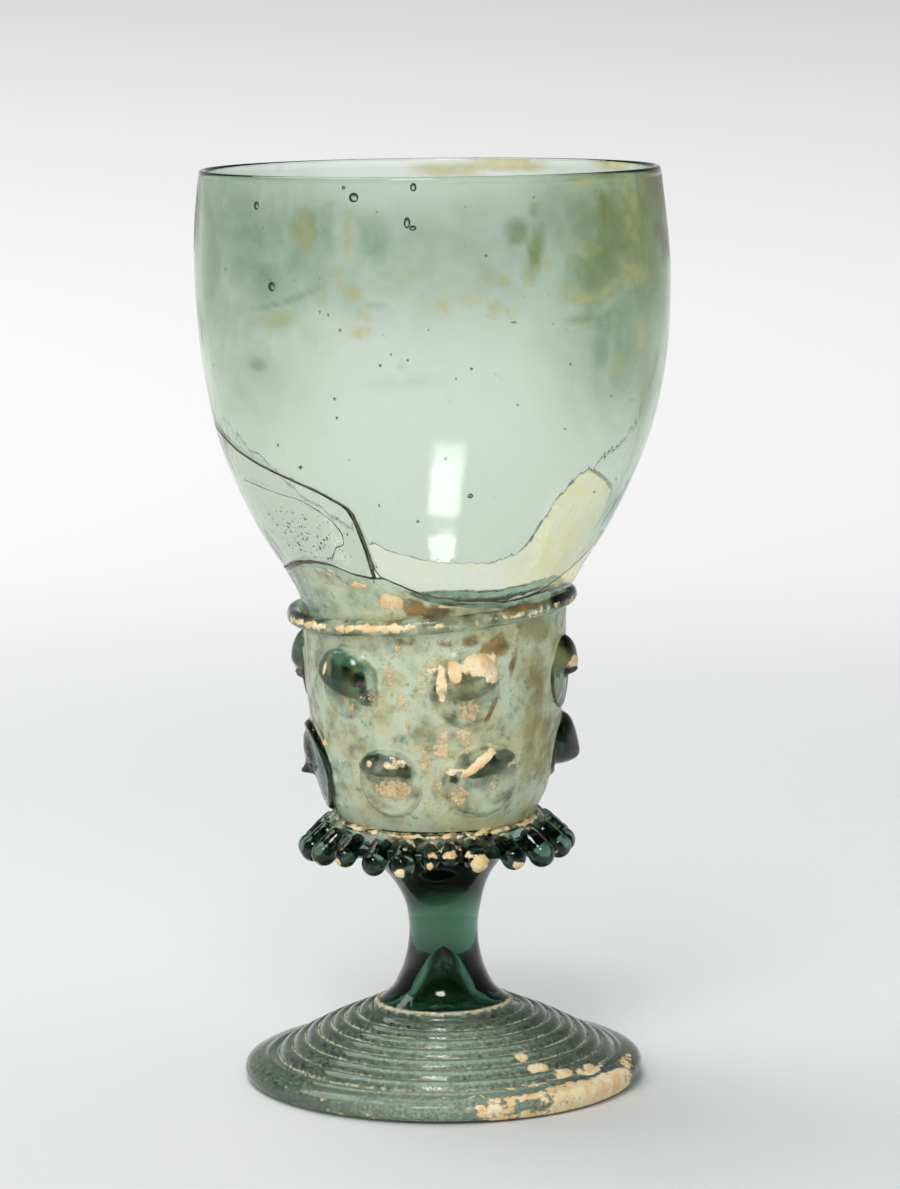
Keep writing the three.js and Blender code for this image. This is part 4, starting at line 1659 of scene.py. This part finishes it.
    def drop(self, knob: Knob) -> Mesh:
        """Makes a drop, from the band down to its round tip.

        Args:
            knob: the drop.

        Returns:
            The closed mesh.
        """
        root = STANCE.place(knob.angle, self.finger_root[0], self.finger_root[1] - 0.6 * self.dip(knob.angle))
        tip = STANCE.place(knob.angle, knob.reach, knob.height)
        axis = tip - root
        length = axis.length
        axis.normalize()
        side = Vector((cos(radians(knob.angle)), sin(radians(knob.angle)), 0))
        out = axis.cross(side)
        size = knob.size * MM
        tip_turns = (-0.42, -0.2, 0, 0.25, 0.5, 0.75, 1.0, 1.25, 1.42)
        stations = [*self.neck, *((1 + sin(t) * size / length, cos(t)) for t in tip_turns)]
        turns = [2 * pi * k / self.drop_sides for k in range(self.drop_sides)]
        rings = [[root]]
        for share, wide in stations:
            centre = root + axis * length * share
            rings.append([centre + size * wide * (side * cos(t) + out * sin(t)) for t in turns])
        rings.append([root + axis * (length + size)])
        return loft(rings).to_mesh("drop")

    def build(self, effects: Effects) -> Piece:
        """Melts all parts into one skin and dresses it.

        Args:
            effects: the shared node groups.

        Returns:
            The vessel.
        """
        parts = [self.collar(), self.band()]
        parts += [self.drop(knob) for knob in self.knobs()]
        parts += [prunt.mesh() for prunt in self.prunts()]
        mesh = fuse(self.body(), parts)
        mesh.name = "vessel"
        paint(mesh, {
            "thick": lambda angle, radius, height: 1 - 0.85 * ease(44, 56, height),
            # painted shade on thick glass seen edge on
            "smoke_and_shade": self.edge_on_shade,
            "olive": lambda angle, radius, height: 0.3 * ease(50, 90, height),
            "gold": nothing,
        })
        vessel = make_object("vessel_glass", mesh, 50)
        nodes = ["foot", "foot_thread", "stem", "shank", "frill", "collar_thread"]
        nodes += [prunt.name for prunt in self.prunts()]
        dress(vessel, VESSEL_GLASS.material(effects), nodes)
        return vessel

    def prunts(self) -> tuple[Prunt, ...]:
        """Every prunt."""
        return *self.upper_prunts, *self.lower_prunts

    def across(self, angle: float, radius: float) -> Pair:
        """Place on the foot's wound thread.

        Args:
            angle: degrees from the front.
            radius: millimetres from the axis.

        Returns:
            How far it is across the thread, 0 on a crest and 0.5 either way in the grooves, and its
            turns along it.
        """
        start, end = self.winding
        within = ((angle - self.winding_start) % 360) / 360
        turns = (radius - start) / ((end - start) / self.winding_turns) - within
        count = round(turns)
        return turns - count, count + within

    def crest(self, angle: float, radius: float) -> float:
        """1 on the outward side of the foot's ridges, and on the smooth rim."""
        return max(bell(self.across(angle, radius)[0], 0.13, 0.24), 0.4 * ease(30.5, 32.0, radius))

    def valley(self, angle: float, radius: float) -> float:
        """Where dust lies between the turns of the foot's thread.

        Args:
            angle: degrees from the front.
            radius: millimetres from the axis.

        Returns:
            1 in the bottom of a groove and 0 on the ridges.
        """
        start, end = self.winding
        inside = ease(start - 2.2, start - 1.6, radius) * (1 - ease(end + 0.6, end + 1.4, radius))
        return ease(0.39, 0.485, abs(self.across(angle, radius)[0])) * inside


@dataclass
class Weathering:
    """Crusts, haze, stains, painted shade and a painted sheen, each a thin shell that follows the glass."""

    vessel: Piece
    bowl: Piece
    design: Vessel
    effects: Effects
    lift: float = 0.04
    crease: float = 70.0
    # painted shade on the bowl's left outline
    shade_wedge: Blotch = Blotch(-84, 157, 6, 7)
    foot_spots: tuple[Blotch, ...] = spots(
        (50, 35.3, 26, 1.9, 0.95), (24, 35.2, 14, 0.9, 0.72), (40, 34.2, 12, 1.4, 0.75),
        (37, 28, 5, 1.3, 0.85), (33, 25, 3.5, 1.1, 0.85), (44, 30.5, 6, 1.2, 0.8), (56, 31.6, 9, 1.6, 0.8),
        (28, 31.5, 10, 1.2, 0.6), (75, 34, 10, 1.2, 0.65), (-34, 35.6, 30, 0.8, 0.3),
        (6, 33.6, 12, 1.2, 0.45), (14, 36, 9, 0.35, 0.64),
    )
    collar_crust: tuple[Pair, ...] = (
        (-180, 0), (-110, 0), (-80, 0.45), (-64, 0.74), (-52, 0.78), (-46, 0.56), (-41, 0.5), (-33, 0.84),
        (-14, 0.82), (-8, 0.5), (6, 0.38), (20, 0.36), (36, 0.5), (60, 0.5), (80, 0.42), (110, 0), (180, 0),
    )
    prunt_spots: tuple[Blotch, ...] = spots(
        (19, 79.4, 10.5, 2.2, 1.15), (24, 77.2, 5, 1.5, 1.1), (2.8, 76.1, 2.4, 4.4, 0.95),
        (8, 78.6, 3, 2.6, 0.9), (-1.5, 78.2, 2.6, 0.6, 1.1), (19.4, 61.8, 3, 3.3, 1.15, 2.6),
        (36.5, 61, 5, 0.8, 0.95), (7.2, 60.3, 6.5, 0.5, 1), (-16.9, 61.8, 6, 1.3, 0.6),
        (-28.6, 61.7, 1.8, 0.7, 1), (-46, 78.4, 1.6, 1.4, 0.7), (74, 77.2, 6, 1.4, 0.9),
        (-92, 81, 4, 1.2, 0.5), (-62, 63.5, 3, 1, 0.8), (160, 78, 20, 3, 0.6),
    )
    fleck_spots: tuple[Blotch, ...] = spots(
        (-15.7, 82, 2.2, 2, 0.72), (-20, 77.6, 5.2, 2.4, 0.64), (-14.8, 73, 2.6, 2, 0.8),
        (-12, 68.7, 1.6, 2.6, 0.72), (4.4, 66.8, 2.8, 1.4, 0.95), (2.8, 64, 4.8, 2.1, 0.92),
        (-4.8, 62.4, 2.8, 2.7, 0.8), (13, 67, 4.8, 1.3, 1), (-21.2, 56.8, 12, 2.3, 0.84),
        (11.5, 55.6, 5.8, 2.1, 0.84), (28.5, 57.2, 3.2, 1.2, 0.8), (14.8, 71.1, 5.6, 2.6, 0.84),
        (-6, 76, 5, 4, 0.5), (-38.5, 71.2, 2.2, 0.9, 0.9), (-26, 72, 5, 4, 0.36), (1, 57, 4, 3, 0.5),
        (15, 64.5, 3, 1.5, 0.7), (5, 83, 9, 1, 0.42), (170, 72, 30, 12, 0.45), (-150, 62, 20, 8, 0.5),
    )
    neck_spots: tuple[Blotch, ...] = spots(
        (-17.5, 90.5, 5.6, 2, 1.1), (-29, 93.6, 5, 0.9, 0.86), (30, 90, 4, 0.6, 0.8), (5, 89.9, 7, 0.6, 0.74),
        (-40, 95.6, 5, 0.7, 0.7), (52, 90.6, 6, 0.5, 0.6),
    )
    frill_spots: tuple[Blotch, ...] = spots(
        (18, 44, 4.2, 1.9, 1.2), (-15, 42.4, 2.6, 1, 0.95), (-45, 43.2, 2, 0.9, 0.9),
        (-62, 41.8, 2.6, 0.8, 0.85), (-3, 43.8, 1.8, 0.9, 0.85), (36, 42.9, 3, 0.8, 0.9),
        (60, 45, 2.6, 1, 0.85), (66, 42.6, 2.4, 0.8, 0.85), (5, 45.6, 14, 0.9, 0.7),
        (-78, 42.6, 2.4, 0.9, 0.7), (-10, 46.6, 12, 0.8, 0.62), (190, 44, 50, 1.2, 0.55),
    )
    brown_spots: tuple[Blotch, ...] = spots(
        (-2, 88.9, 12, 1.2, 1), (-8, 90.2, 6, 1.2, 0.75), (37, 89.3, 9, 1.2, 0.95), (27, 81.8, 7, 2.4, 0.85),
        (16, 83.5, 5, 1.2, 0.8), (-13, 83.4, 7, 0.9, 0.6), (36.3, 79.6, 2, 4.5, 0.6, 0.5),
        (24.8, 70.9, 1.7, 2.8, 0.95, 1), (18, 89.2, 8, 0.8, 0.5), (4, 83, 5, 0.5, 0.55),
        (160, 84, 40, 2, 0.5),
    )
    olive_spots: tuple[Blotch, ...] = spots(
        (50, 84, 10, 3.2, 0.85), (50, 70, 8, 15, 0.66), (20, 51, 15, 1.2, 0.22), (-3, 53.4, 5, 2.4, 0.2),
        (-24, 50.8, 14, 1.2, 0.3), (40, 79, 7, 4, 0.42), (62, 62, 9, 9, 0.6), (-50, 84.5, 12, 1.6, 0.5),
        (16, 74.5, 8, 2.6, 0.42), (66, 76, 6, 8, 0.6), (-14, 84, 12, 1.2, 0.3), (150, 70, 30, 14, 0.5),
    )

    def __post_init__(self) -> None:
        """Makes the crust's curve once."""
        self.collar_crust_curve = smooth_curve(self.collar_crust)

    def shell(self, name: str, finish: CrustFinish, keep: Film, cover: Film, lift: float = 0.0,
              carrier: Piece | None = None) -> None:
        """A thin layer over the part of the glass where it is kept.

        Args:
            name: name of the piece.
            finish: its finish.
            keep: above 0.5 where the layer lies, by angle, radius and height.
            cover: how thick the layer is, by angle, radius and height.
            lift: its height over the glass in millimetres, when it differs from the usual one.
            carrier: the piece that it lies on, when that isn't the vessel.
        """
        source = (carrier or self.vessel).data
        kept = [keep(*STANCE.read(point.co)) > 0.5 for point in source.vertices]
        faces = [face.vertices for face in source.polygons if all(kept[i] for i in face.vertices)]
        used = sorted({i for face in faces for i in face})
        number = {old: new for new, old in enumerate(used)}
        up = (lift or self.lift) * MM
        points = [source.vertices[i].co + source.vertices[i].normal * up for i in used]
        mesh = bpy.data.meshes.new(name)
        mesh.from_pydata(points, [], [tuple(number[i] for i in face) for face in faces])
        paint(mesh, {"cover": cover})
        material = bpy.data.materials.get(finish.name) or finish.material(self.effects)
        dress(make_object(name, mesh, self.crease), material)

    def on_shank(self, angle: float, radius: float, height: float, low: float = 51.0) -> bool:
        """Tells whether a point is on the shank's outer side.

        Args:
            angle: degrees from the front.
            radius: millimetres from the axis.
            height: millimetres over the floor.
            low: height from which the side counts. Under 51 the frill's band is left out.

        Returns:
            True on the outer side, up to the stump's edge.
        """
        wall = WALL.outer_curve(height)
        on_side = low < height < BREAKS.stump_edge(angle) - 0.1 and radius > wall - 0.45
        return on_side and (low >= 51 or height > 51.2 or radius < wall + 0.5)

    def on_foot(self, radius: float, height: float, low: float, start: float = 11.4) -> bool:
        """True on the foot's upper side, from a radius outwards and down to a low height on its rim."""
        return low < height < 15.6 and radius > start and height > self.design.cone(radius) - 3.4

    def edge_line(self, angle: float, height: float) -> float:
        """Pale deposit in the corner where a prunt's disc meets the wall.

        Args:
            angle: degrees from the front.
            height: millimetres over the floor.

        Returns:
            How thick it is.
        """
        found = 0.0
        for prunt in self.design.prunts():
            u = radians(turn_back(angle - prunt.angle)) * WALL.outer_curve(height)
            reach = hypot(u / prunt.half_width, (height - prunt.height) / prunt.half_height)
            found = max(found, bell(reach, 1.0, 0.075))
        return found * (0.5 + 0.35 * ripple(79, angle, height, 3))

    def bare(self, angle: float, radius: float, height: float) -> float:
        """How far the haze is gone: from the prunts' hoods, the side prunts and the ends of the neck thread.

        Args:
            angle: degrees from the front.
            radius: millimetres from the axis.
            height: millimetres over the floor.

        Returns:
            1 where the glass is bare.
        """
        rise = radius - WALL.outer_curve(height)
        side = ease(50, 62, abs(turn_back(angle)))
        front = mix(0.54, 0.34, bell(angle, 13, 20) * ease(66, 70, height))
        hood = ease(0.9, 1.9, rise) * (0.25 if 84.3 < height < 90 else front)
        return max(mix(hood, 1, side * ease(0.25, 0.5, rise)), 0.16 * ease(0.2, 0.5, rise))

    def build(self) -> None:
        """Lays every shell."""
        self.cover_shank()
        self.cover_collar_and_frill()
        self.cover_foot_and_bowl()

    def cover_shank(self) -> None:
        """Lays the shells inside and outside the shank."""
        self.shell(
            "haze_inside", MILKY_HAZE,
            lambda a, r, z: 46.0 < z < BREAKS.stump_edge(a) - 0.15
            and r < WALL.outer_curve(max(z, 48.6)) - 0.9 and (z > 52.4 or r < 15.6),
            lambda a, r, z: 0.8 - mix(0.95, 0.3, bell(a, 0, 95)) * ease(79, 84, z)
            + 0.08 * ripple(71, a, z, 1.5),
        )
        self.shell(
            "haze_shank", OUTER_HAZE, lambda a, r, z: self.on_shank(a, r, z, 48.2),
            lambda a, r, z: mix(
                0.73 - 0.85 * ease(80, 84, z) * ease(80, 110, abs(a))
                - 0.3 * ease(86, 89, z) * bell(abs(a), 70, 24) + 0.18 * bell(z, 51, 5)
                + 0.26 * ripple(72, a, z, 2.6),
                -0.4, self.bare(a, r, z),
            )
            + 0.35 * self.edge_line(a, z) * (1 - ease(50, 60, abs(a))), 0.015,
        )
        self.shell(
            "crust_shank", CREAM_CRUST, lambda a, r, z: self.on_shank(a, r, z) and not 84.6 < z < 88.6,
            lambda a, r, z: max(strongest(self.prunt_spots, a, z), strongest(self.neck_spots, a, z)),
        )
        self.shell(
            "flecks_shank", ORANGE_FLECKS, lambda a, r, z: z < 85 and self.on_shank(a, r, z),
            lambda a, r, z: max(
                strongest(self.fleck_spots, a, z), 0.7 * strongest(self.prunt_spots, a, z),
                (0.12 + 0.12 * ripple(73, a, z, 2.5) + 0.1 * bell(a, 5, 40)) * (1 - self.bare(a, r, z)),
            ), 0.03,
        )
        self.shell(
            "olive_shank", OLIVE_STAIN, lambda a, r, z: self.on_shank(a, r, z, 49),
            lambda a, r, z: strongest(self.olive_spots, a, z), 0.019,
        )
        self.shell(
            "stain_shank", BROWN_STAIN, self.on_shank,
            lambda a, r, z: strongest(self.brown_spots, a, z), 0.022,
        )

    def cover_collar_and_frill(self) -> None:
        """Lays the shells on the neck thread and the frill."""
        self.shell(
            "crust_collar", CREAM_CRUST, lambda a, r, z: 84 < z < 90.5 and r > WALL.outer_curve(z) + 0.3,
            lambda a, r, z: self.collar_crust_curve(a) * bell(z, self.design.collar_line(a) + 0.1, 1.5)
            + 0.16 * ripple(81, a, z, 9),
        )
        self.shell(
            "crust_frill", CREAM_CRUST, lambda a, r, z: 39 < z < 51.5 and r > 16.9,
            lambda a, r, z: max(
                strongest(self.frill_spots, a, z) * ease(21.5, 23.5, r),
                (0.58 + 0.2 * ripple(83, a, z, 5))
                * bell(z + self.design.dip(a) + 0.3 * ripple(75, a, 0, 3), 49.0, 0.9),
                0.5 * bell(r, 20.8, 1.5) * bell(a, 0, 40) * ease(43.6, 45, z),
            ),
        )
        self.shell(
            "haze_frill", OUTER_HAZE, lambda a, r, z: 44.2 < z < 49.6 and 17.6 < r < 22.4,
            lambda a, r, z: 0.28 * (1 - ease(19.6, 21.4, r)) + 0.24 * ripple(74, a, z, 6), 0.015,
        )

    def cover_foot_and_bowl(self) -> None:
        """Lays the shells on the foot, one a painted sheen, the painted shade at the bowl's sides, and the
        kick's dirt and shade.
        """
        self.shell(
            "crust_foot", CREAM_CRUST, lambda a, r, z: self.on_foot(r, z, 0.15),
            lambda a, r, z: max(
                strongest(self.foot_spots, a, r), (0.7 + 0.2 * ripple(78, a, r, 3)) * bell(r, 12.2, 0.5),
            ),
        )
        self.shell(
            "dust_foot", GROOVE_DUST, lambda a, r, z: self.on_foot(r, z, 0.5),
            lambda a, r, z: max(
                self.design.valley(a, r) * (0.84 + 0.2 * ripple(77, a, r, 4) - 0.3 * ease(21, 30, r)),
                0.95 * bell(r, 12.2, 0.8), 0.14 * bell(r, 34.6, 2.2) * (1 + ripple(80, a, r, 5)),
            ), 0.025,
        )
        # Painted sheen on the outward side of the foot's ridges at the front, over a faint film.
        self.shell(
            "film_and_sheen_foot", FOOT_FILM_AND_SHEEN, lambda a, r, z: self.on_foot(r, z, 0.5, 12.2),
            lambda a, r, z: mix(0.42, 1.0, self.design.crest(a, r)) * bell(a, 5, 64) * ease(11, 22, r)
            + 0.02 + 0.06 * ripple(76, a, 12 * r, 1.0), 0.015,
        )
        # Painted shade at the bowl's outline: strongest on the right, and in a wedge on the left.
        self.shell(
            "shade_bowl", SIDE_SHADE,
            lambda a, r, z: 50 < abs(a) < 130 and 136 < z < 164.4 and r > WALL.outer_curve(z) - 0.3,
            lambda a, r, z: max(
                1.15 * ease(53, 82, a) * (1 - ease(98, 127, a)) * ease(138, 156, z),
                1.5 * self.shade_wedge.at(a, z),
            ) + 0.12 * ripple(84, a, z, 3) - 0.34, 0.02, self.bowl,
        )
        # Dark coat in the kick: dirt, and painted shade where the foot's underside lies in shadow.
        self.shell(
            "dirt_and_shade_kick", KICK_DIRT_AND_SHADE,
            lambda a, r, z: 12.9 < z < 24.2 and r < 6.4 and r < 6.4 * (25 - z) / 11.0,
            lambda a, r, z: 0.8 + 0.35 * ripple(82, a, 2 * z, 2.5),
        )


@dataclass
class Seams:
    """Aged adhesive in the joints of the bowl."""

    half_width: float = 0.115
    stand_out: float = 0.03
    open_from: float = -96.0
    open_to: float = 51.0
    crack: tuple[Pair, ...] = (
        (-66, 111.3), (-60, 110.9), (-52.5, 110.1), (-46, 109.5), (-41, 109.0), (-36, 107.6), (-31.5, 105.6),
        (-28.9, 103.2), (-29.4, 101.4), (-32.5, 100.6), (-34.3, 99.6), (-36.8, 97.9),
    )
    crack_width: float = 0.08
    crack_depth: float = 0.08

    def strip(self, name: str, path: Sequence[Pair], material: Material, half_width: float = 0.0,
              depth: float = 0.0) -> None:
        """A strip of adhesive that fills a joint through the wall.

        Args:
            name: name of the piece.
            path: the joint's middle as (angle, height).
            material: its finish.
            half_width: half its width, where it differs from the usual one.
            depth: how far it reaches into the wall, where it doesn't go through.
        """
        rings = []
        for i, (angle, height) in enumerate(path):
            before, after = path[max(i - 1, 0)], path[min(i + 1, len(path) - 1)]
            scale = radians(1) * WALL.outer_curve(height)
            along = Vector((turn_back(after[0] - before[0]) * scale, after[1] - before[1])).normalized()
            normal = Vector((-along.y, along.x))
            front = 1 - 0.6 * ease(60, 84, abs(turn_back(angle)))
            wide = (half_width or self.half_width) * front * (0.9 + 1.1 * ripple(61, angle, height * 3, 9))
            ring = []
            for side, out in ((1, True), (-1, True), (-1, False), (1, False)):
                there = angle + side * wide * normal.x / scale
                level = height + side * wide * normal.y
                face = WALL.outer(there, level)
                back = face - depth if depth else WALL.inner(there, level) - self.stand_out
                radius = face + self.stand_out if out else back
                ring.append(STANCE.place(there, radius, level))
            rings.append(ring)
        skin = loft(rings)
        last = len(skin.points) - 4
        skin.faces += [(0, 1, 2, 3), (last, last + 1, last + 2, last + 3)]
        piece = make_object(name, skin.to_mesh(name))
        dress(piece, material)

    def build(self, effects: Effects) -> None:
        """Makes every seam.

        Args:
            effects: the shared node groups.
        """
        material = OLD_ADHESIVE.material(effects)
        half = BREAKS.gap / 2
        pale = PALE_ADHESIVE.material(effects)
        around = spread(self.open_from, self.open_to, 1.5)
        front = [(angle, BREAKS.bowl_edge(angle) - half) for angle in around]
        self.strip("seam_bowl", front, material)
        fill_end = BREAKS.front_fill_ends[1]
        lower = [(angle, BREAKS.stump_edge(angle) + half) for angle in spread(self.open_from, fill_end, 1.5)]
        self.strip("seam_stump", lower, material)
        crack = smooth_path(self.crack, 0.8)
        self.strip("crack_front_fill", crack, material, self.crack_width, self.crack_depth)
        side = [(angle, BREAKS.side_edge(angle) - half) for angle in spread(*BREAKS.side_ends, 1)]
        self.strip("seam_side_shard", side, pale)


# The studio


@dataclass
class Studio:
    """Pale sweep, soft lamps and the camera."""

    sweep_radius: float = 2.2
    sweep_height: float = 1.7
    corner: float = 0.7
    corner_rows: int = 12
    columns: int = 96
    camera_place: tuple[float, float, float] = (0.003387, -0.75456, 0.19675)
    pitch_down: float = 8.167
    lens: float = 128.43
    floor_levels: tuple[Pair, ...] = (
        (0.0, 0.76), (0.1, 0.8), (0.28, 0.92), (0.5, 0.95), (0.85, 0.91), (1.0, 0.88),
    )
    wall_levels: tuple[Pair, ...] = (
        (0.0, 1.0), (0.035, 0.97), (0.11, 0.78), (0.24, 0.48), (0.55, 0.2), (1.0, 0.08),
    )
    left_brighter: float = -0.36
    lamp_aim: float = 0.09
    front_dimmer: float = 0.45

    def sweep(self) -> None:
        """Round floor that curves up into a wall."""
        flat = self.sweep_radius - self.corner
        profile = [(radius, 0.0) for radius in (0.001, 0.1, 0.2, 0.35, 0.6, 0.9, 1.2, flat)]
        for i in range(1, self.corner_rows + 1):
            turn = radians(90 * i / self.corner_rows)
            profile.append((flat + self.corner * sin(turn), self.corner * (1 - cos(turn))))
        profile.append((self.sweep_radius, self.sweep_height))
        turns = [2 * pi * k / self.columns for k in range(self.columns)]
        rings = [[Vector((r * sin(a), r * cos(a), z)) for a in turns] for r, z in profile]
        mesh = bpy.data.meshes.new("sweep")
        skin = loft([[Vector((0, 0, 0))], *rings])
        mesh.from_pydata(skin.points, [], skin.faces)
        floor = make_object("studio_sweep", mesh)
        floor.data.materials.append(self.paper())

    def paper(self) -> Material:
        """Matt paper, lit by lamps near the glass; further off it shows a glow of painted light and shade.

        Returns:
            The material.
        """
        made, pen = new_material("studio_paper")
        axes = pen.node("ShaderNodeSeparateXYZ", {0: pen.place()}).outputs
        squares = [pen.math("POWER", axis, 2.0) for axis in (axes[0], axes[1])]
        away = pen.math("POWER", pen.math("ADD", *squares), 0.5)
        # Painted light on the far paper: a ramp out across the floor, fading up the wall, brighter to the
        # left, dimmer towards the front.
        level = pen.ramp(pen.math("DIVIDE", away, self.sweep_radius), self.floor_levels)
        fall = pen.ramp(pen.math("DIVIDE", axes[2], self.sweep_height), self.wall_levels)
        behind = pen.math("ADD", pen.math("MAXIMUM", axes[1], -0.3), 0.75)
        across = pen.math("MINIMUM", pen.math("MAXIMUM", pen.math("DIVIDE", axes[0], behind), -0.5), 0.5)
        side = pen.math("MULTIPLY_ADD", across, self.left_brighter, 1.0)
        front = pen.math("SUBTRACT", 1.0, pen.times(pen.step(axes[1], 0.2, -1.2), self.front_dimmer))
        strength = pen.times(pen.times(fall, side), front)
        glow = pen.node("ShaderNodeEmission", {"Color": level, "Strength": strength})
        # Painted shade: the lit paper's colour is darker towards the front.
        tone = pen.blend(pen.step(axes[1], 0.14, -0.1), (0.82, 0.825, 0.82, 1), (0.71, 0.715, 0.71, 1))
        paper = pen.node("ShaderNodeBsdfPrincipled", {
            "Base Color": tone, "Roughness": 0.9, "Specular IOR Level": 0.2,
        })
        path = pen.node("ShaderNodeLightPath")
        seen = pen.math("MAXIMUM", path.outputs["Is Camera Ray"], path.outputs["Is Glossy Ray"])
        seen = pen.math("MAXIMUM", seen, path.outputs["Is Transmission Ray"])
        far = pen.step(away, 0.22, 0.7)
        shown = pen.node("ShaderNodeMixShader", {
            0: pen.times(seen, far), 1: paper.outputs[0], 2: glow.outputs[0],
        })
        pen.show(shown)
        return made

    def lamp(self, name: str, size: Pair, place: Vector, watts: float, mirrored: bool = True,
             feather: float = 0.0) -> None:
        """Soft rectangular lamp that faces the glass.

        Args:
            name: name of the lamp.
            size: its width and height in metres.
            place: where it hangs.
            watts: its power.
            mirrored: True where the glass shows its reflection.
            feather: share of its width over which it fades towards its edges.
        """
        aim = Vector((0, 0, self.lamp_aim))
        light = bpy.data.lights.new(name, "AREA")
        light.shape = "RECTANGLE"
        light.size, light.size_y = size
        light.energy = watts
        if feather:
            self.feather(light, feather)
        lamp = bpy.data.objects.new(name, light)
        lamp.location = place
        lamp.rotation_euler = (aim - place).to_track_quat("-Z", "Y").to_euler()
        lamp.visible_camera = False
        lamp.visible_transmission = False
        lamp.visible_glossy = mirrored
        bpy.context.scene.collection.objects.link(lamp)

    def feather(self, light: bpy.types.Light, share: float) -> None:
        """Lets a lamp fade towards its edges.

        Args:
            light: the lamp.
            share: share of its width over which it fades.
        """
        light.use_nodes = True
        light.node_tree.nodes.clear()
        pen = Pen(light.node_tree)
        face = pen.node("ShaderNodeNewGeometry").outputs["Parametric"]
        axes = pen.node("ShaderNodeSeparateXYZ", {0: face}).outputs
        strength: object = 1.0
        for axis in (axes[0], axes[1]):
            near = pen.math("MINIMUM", axis, pen.math("SUBTRACT", 1.0, axis))
            strength = pen.times(strength, pen.step(near, 0.0, share))
        pen.show(pen.node("ShaderNodeEmission", {"Strength": strength}), "ShaderNodeOutputLight")

    def camera(self) -> None:
        """Camera at the photograph's view."""
        lens = bpy.data.cameras.new("camera")
        lens.sensor_fit = "AUTO"
        lens.sensor_width = 36.0
        lens.lens = self.lens
        lens.clip_start, lens.clip_end = 0.01, 20.0
        camera = bpy.data.objects.new("camera", lens)
        camera.location = self.camera_place
        camera.rotation_euler = (radians(90 - self.pitch_down), 0, 0)
        bpy.context.scene.collection.objects.link(camera)
        bpy.context.scene.camera = camera

    def world(self) -> None:
        """Dim even surroundings over the sweep, darker in reflections and through the glass."""
        world = bpy.data.worlds.new("studio")
        world.use_nodes = True
        world.node_tree.nodes.clear()
        pen = Pen(world.node_tree)
        path = pen.node("ShaderNodeLightPath")
        mirrored = pen.math("MAXIMUM", path.outputs["Is Glossy Ray"], path.outputs["Is Transmission Ray"])
        tone = pen.blend(mirrored, (0.3, 0.31, 0.32, 1), (0.04, 0.04, 0.04, 1))
        pen.show(pen.node("ShaderNodeBackground", {"Color": tone, "Strength": 1.0}), "ShaderNodeOutputWorld")
        bpy.context.scene.world = world

    def build(self) -> None:
        """Sets up the studio."""
        self.sweep()
        self.camera()
        self.world()
        self.lamp("key_softbox", (0.42, 0.4), Vector((-0.13, -0.66, 0.92)), 8.5, feather=0.3)
        self.lamp("fill_softbox", (1.3, 0.9), Vector((-0.25, -1.15, 0.55)), 7.0, mirrored=False)
        self.lamp("top_softbox", (1.3, 1.1), Vector((-0.55, 0.55, 1.45)), 13.0)
        scene = bpy.context.scene
        scene.view_settings.view_transform = "Standard"
        scene.cycles.max_bounces = 24
        scene.cycles.transmission_bounces = 20
        scene.cycles.transparent_max_bounces = 24
        scene.cycles.glossy_bounces = 8
        scene.cycles.caustics_refractive = False
        scene.cycles.caustics_reflective = False


def main() -> None:
    """Builds the goblet and its studio, and reports each piece."""
    logging.basicConfig(level=logging.INFO, format="%(message)s")
    effects = Effects()
    design = Vessel()
    vessel = design.build(effects)
    bowl = Bowl().build(effects)
    Weathering(vessel, bowl, design, effects).build()
    Seams().build(effects)
    Studio().build()


if __name__ == "__main__":
    main()
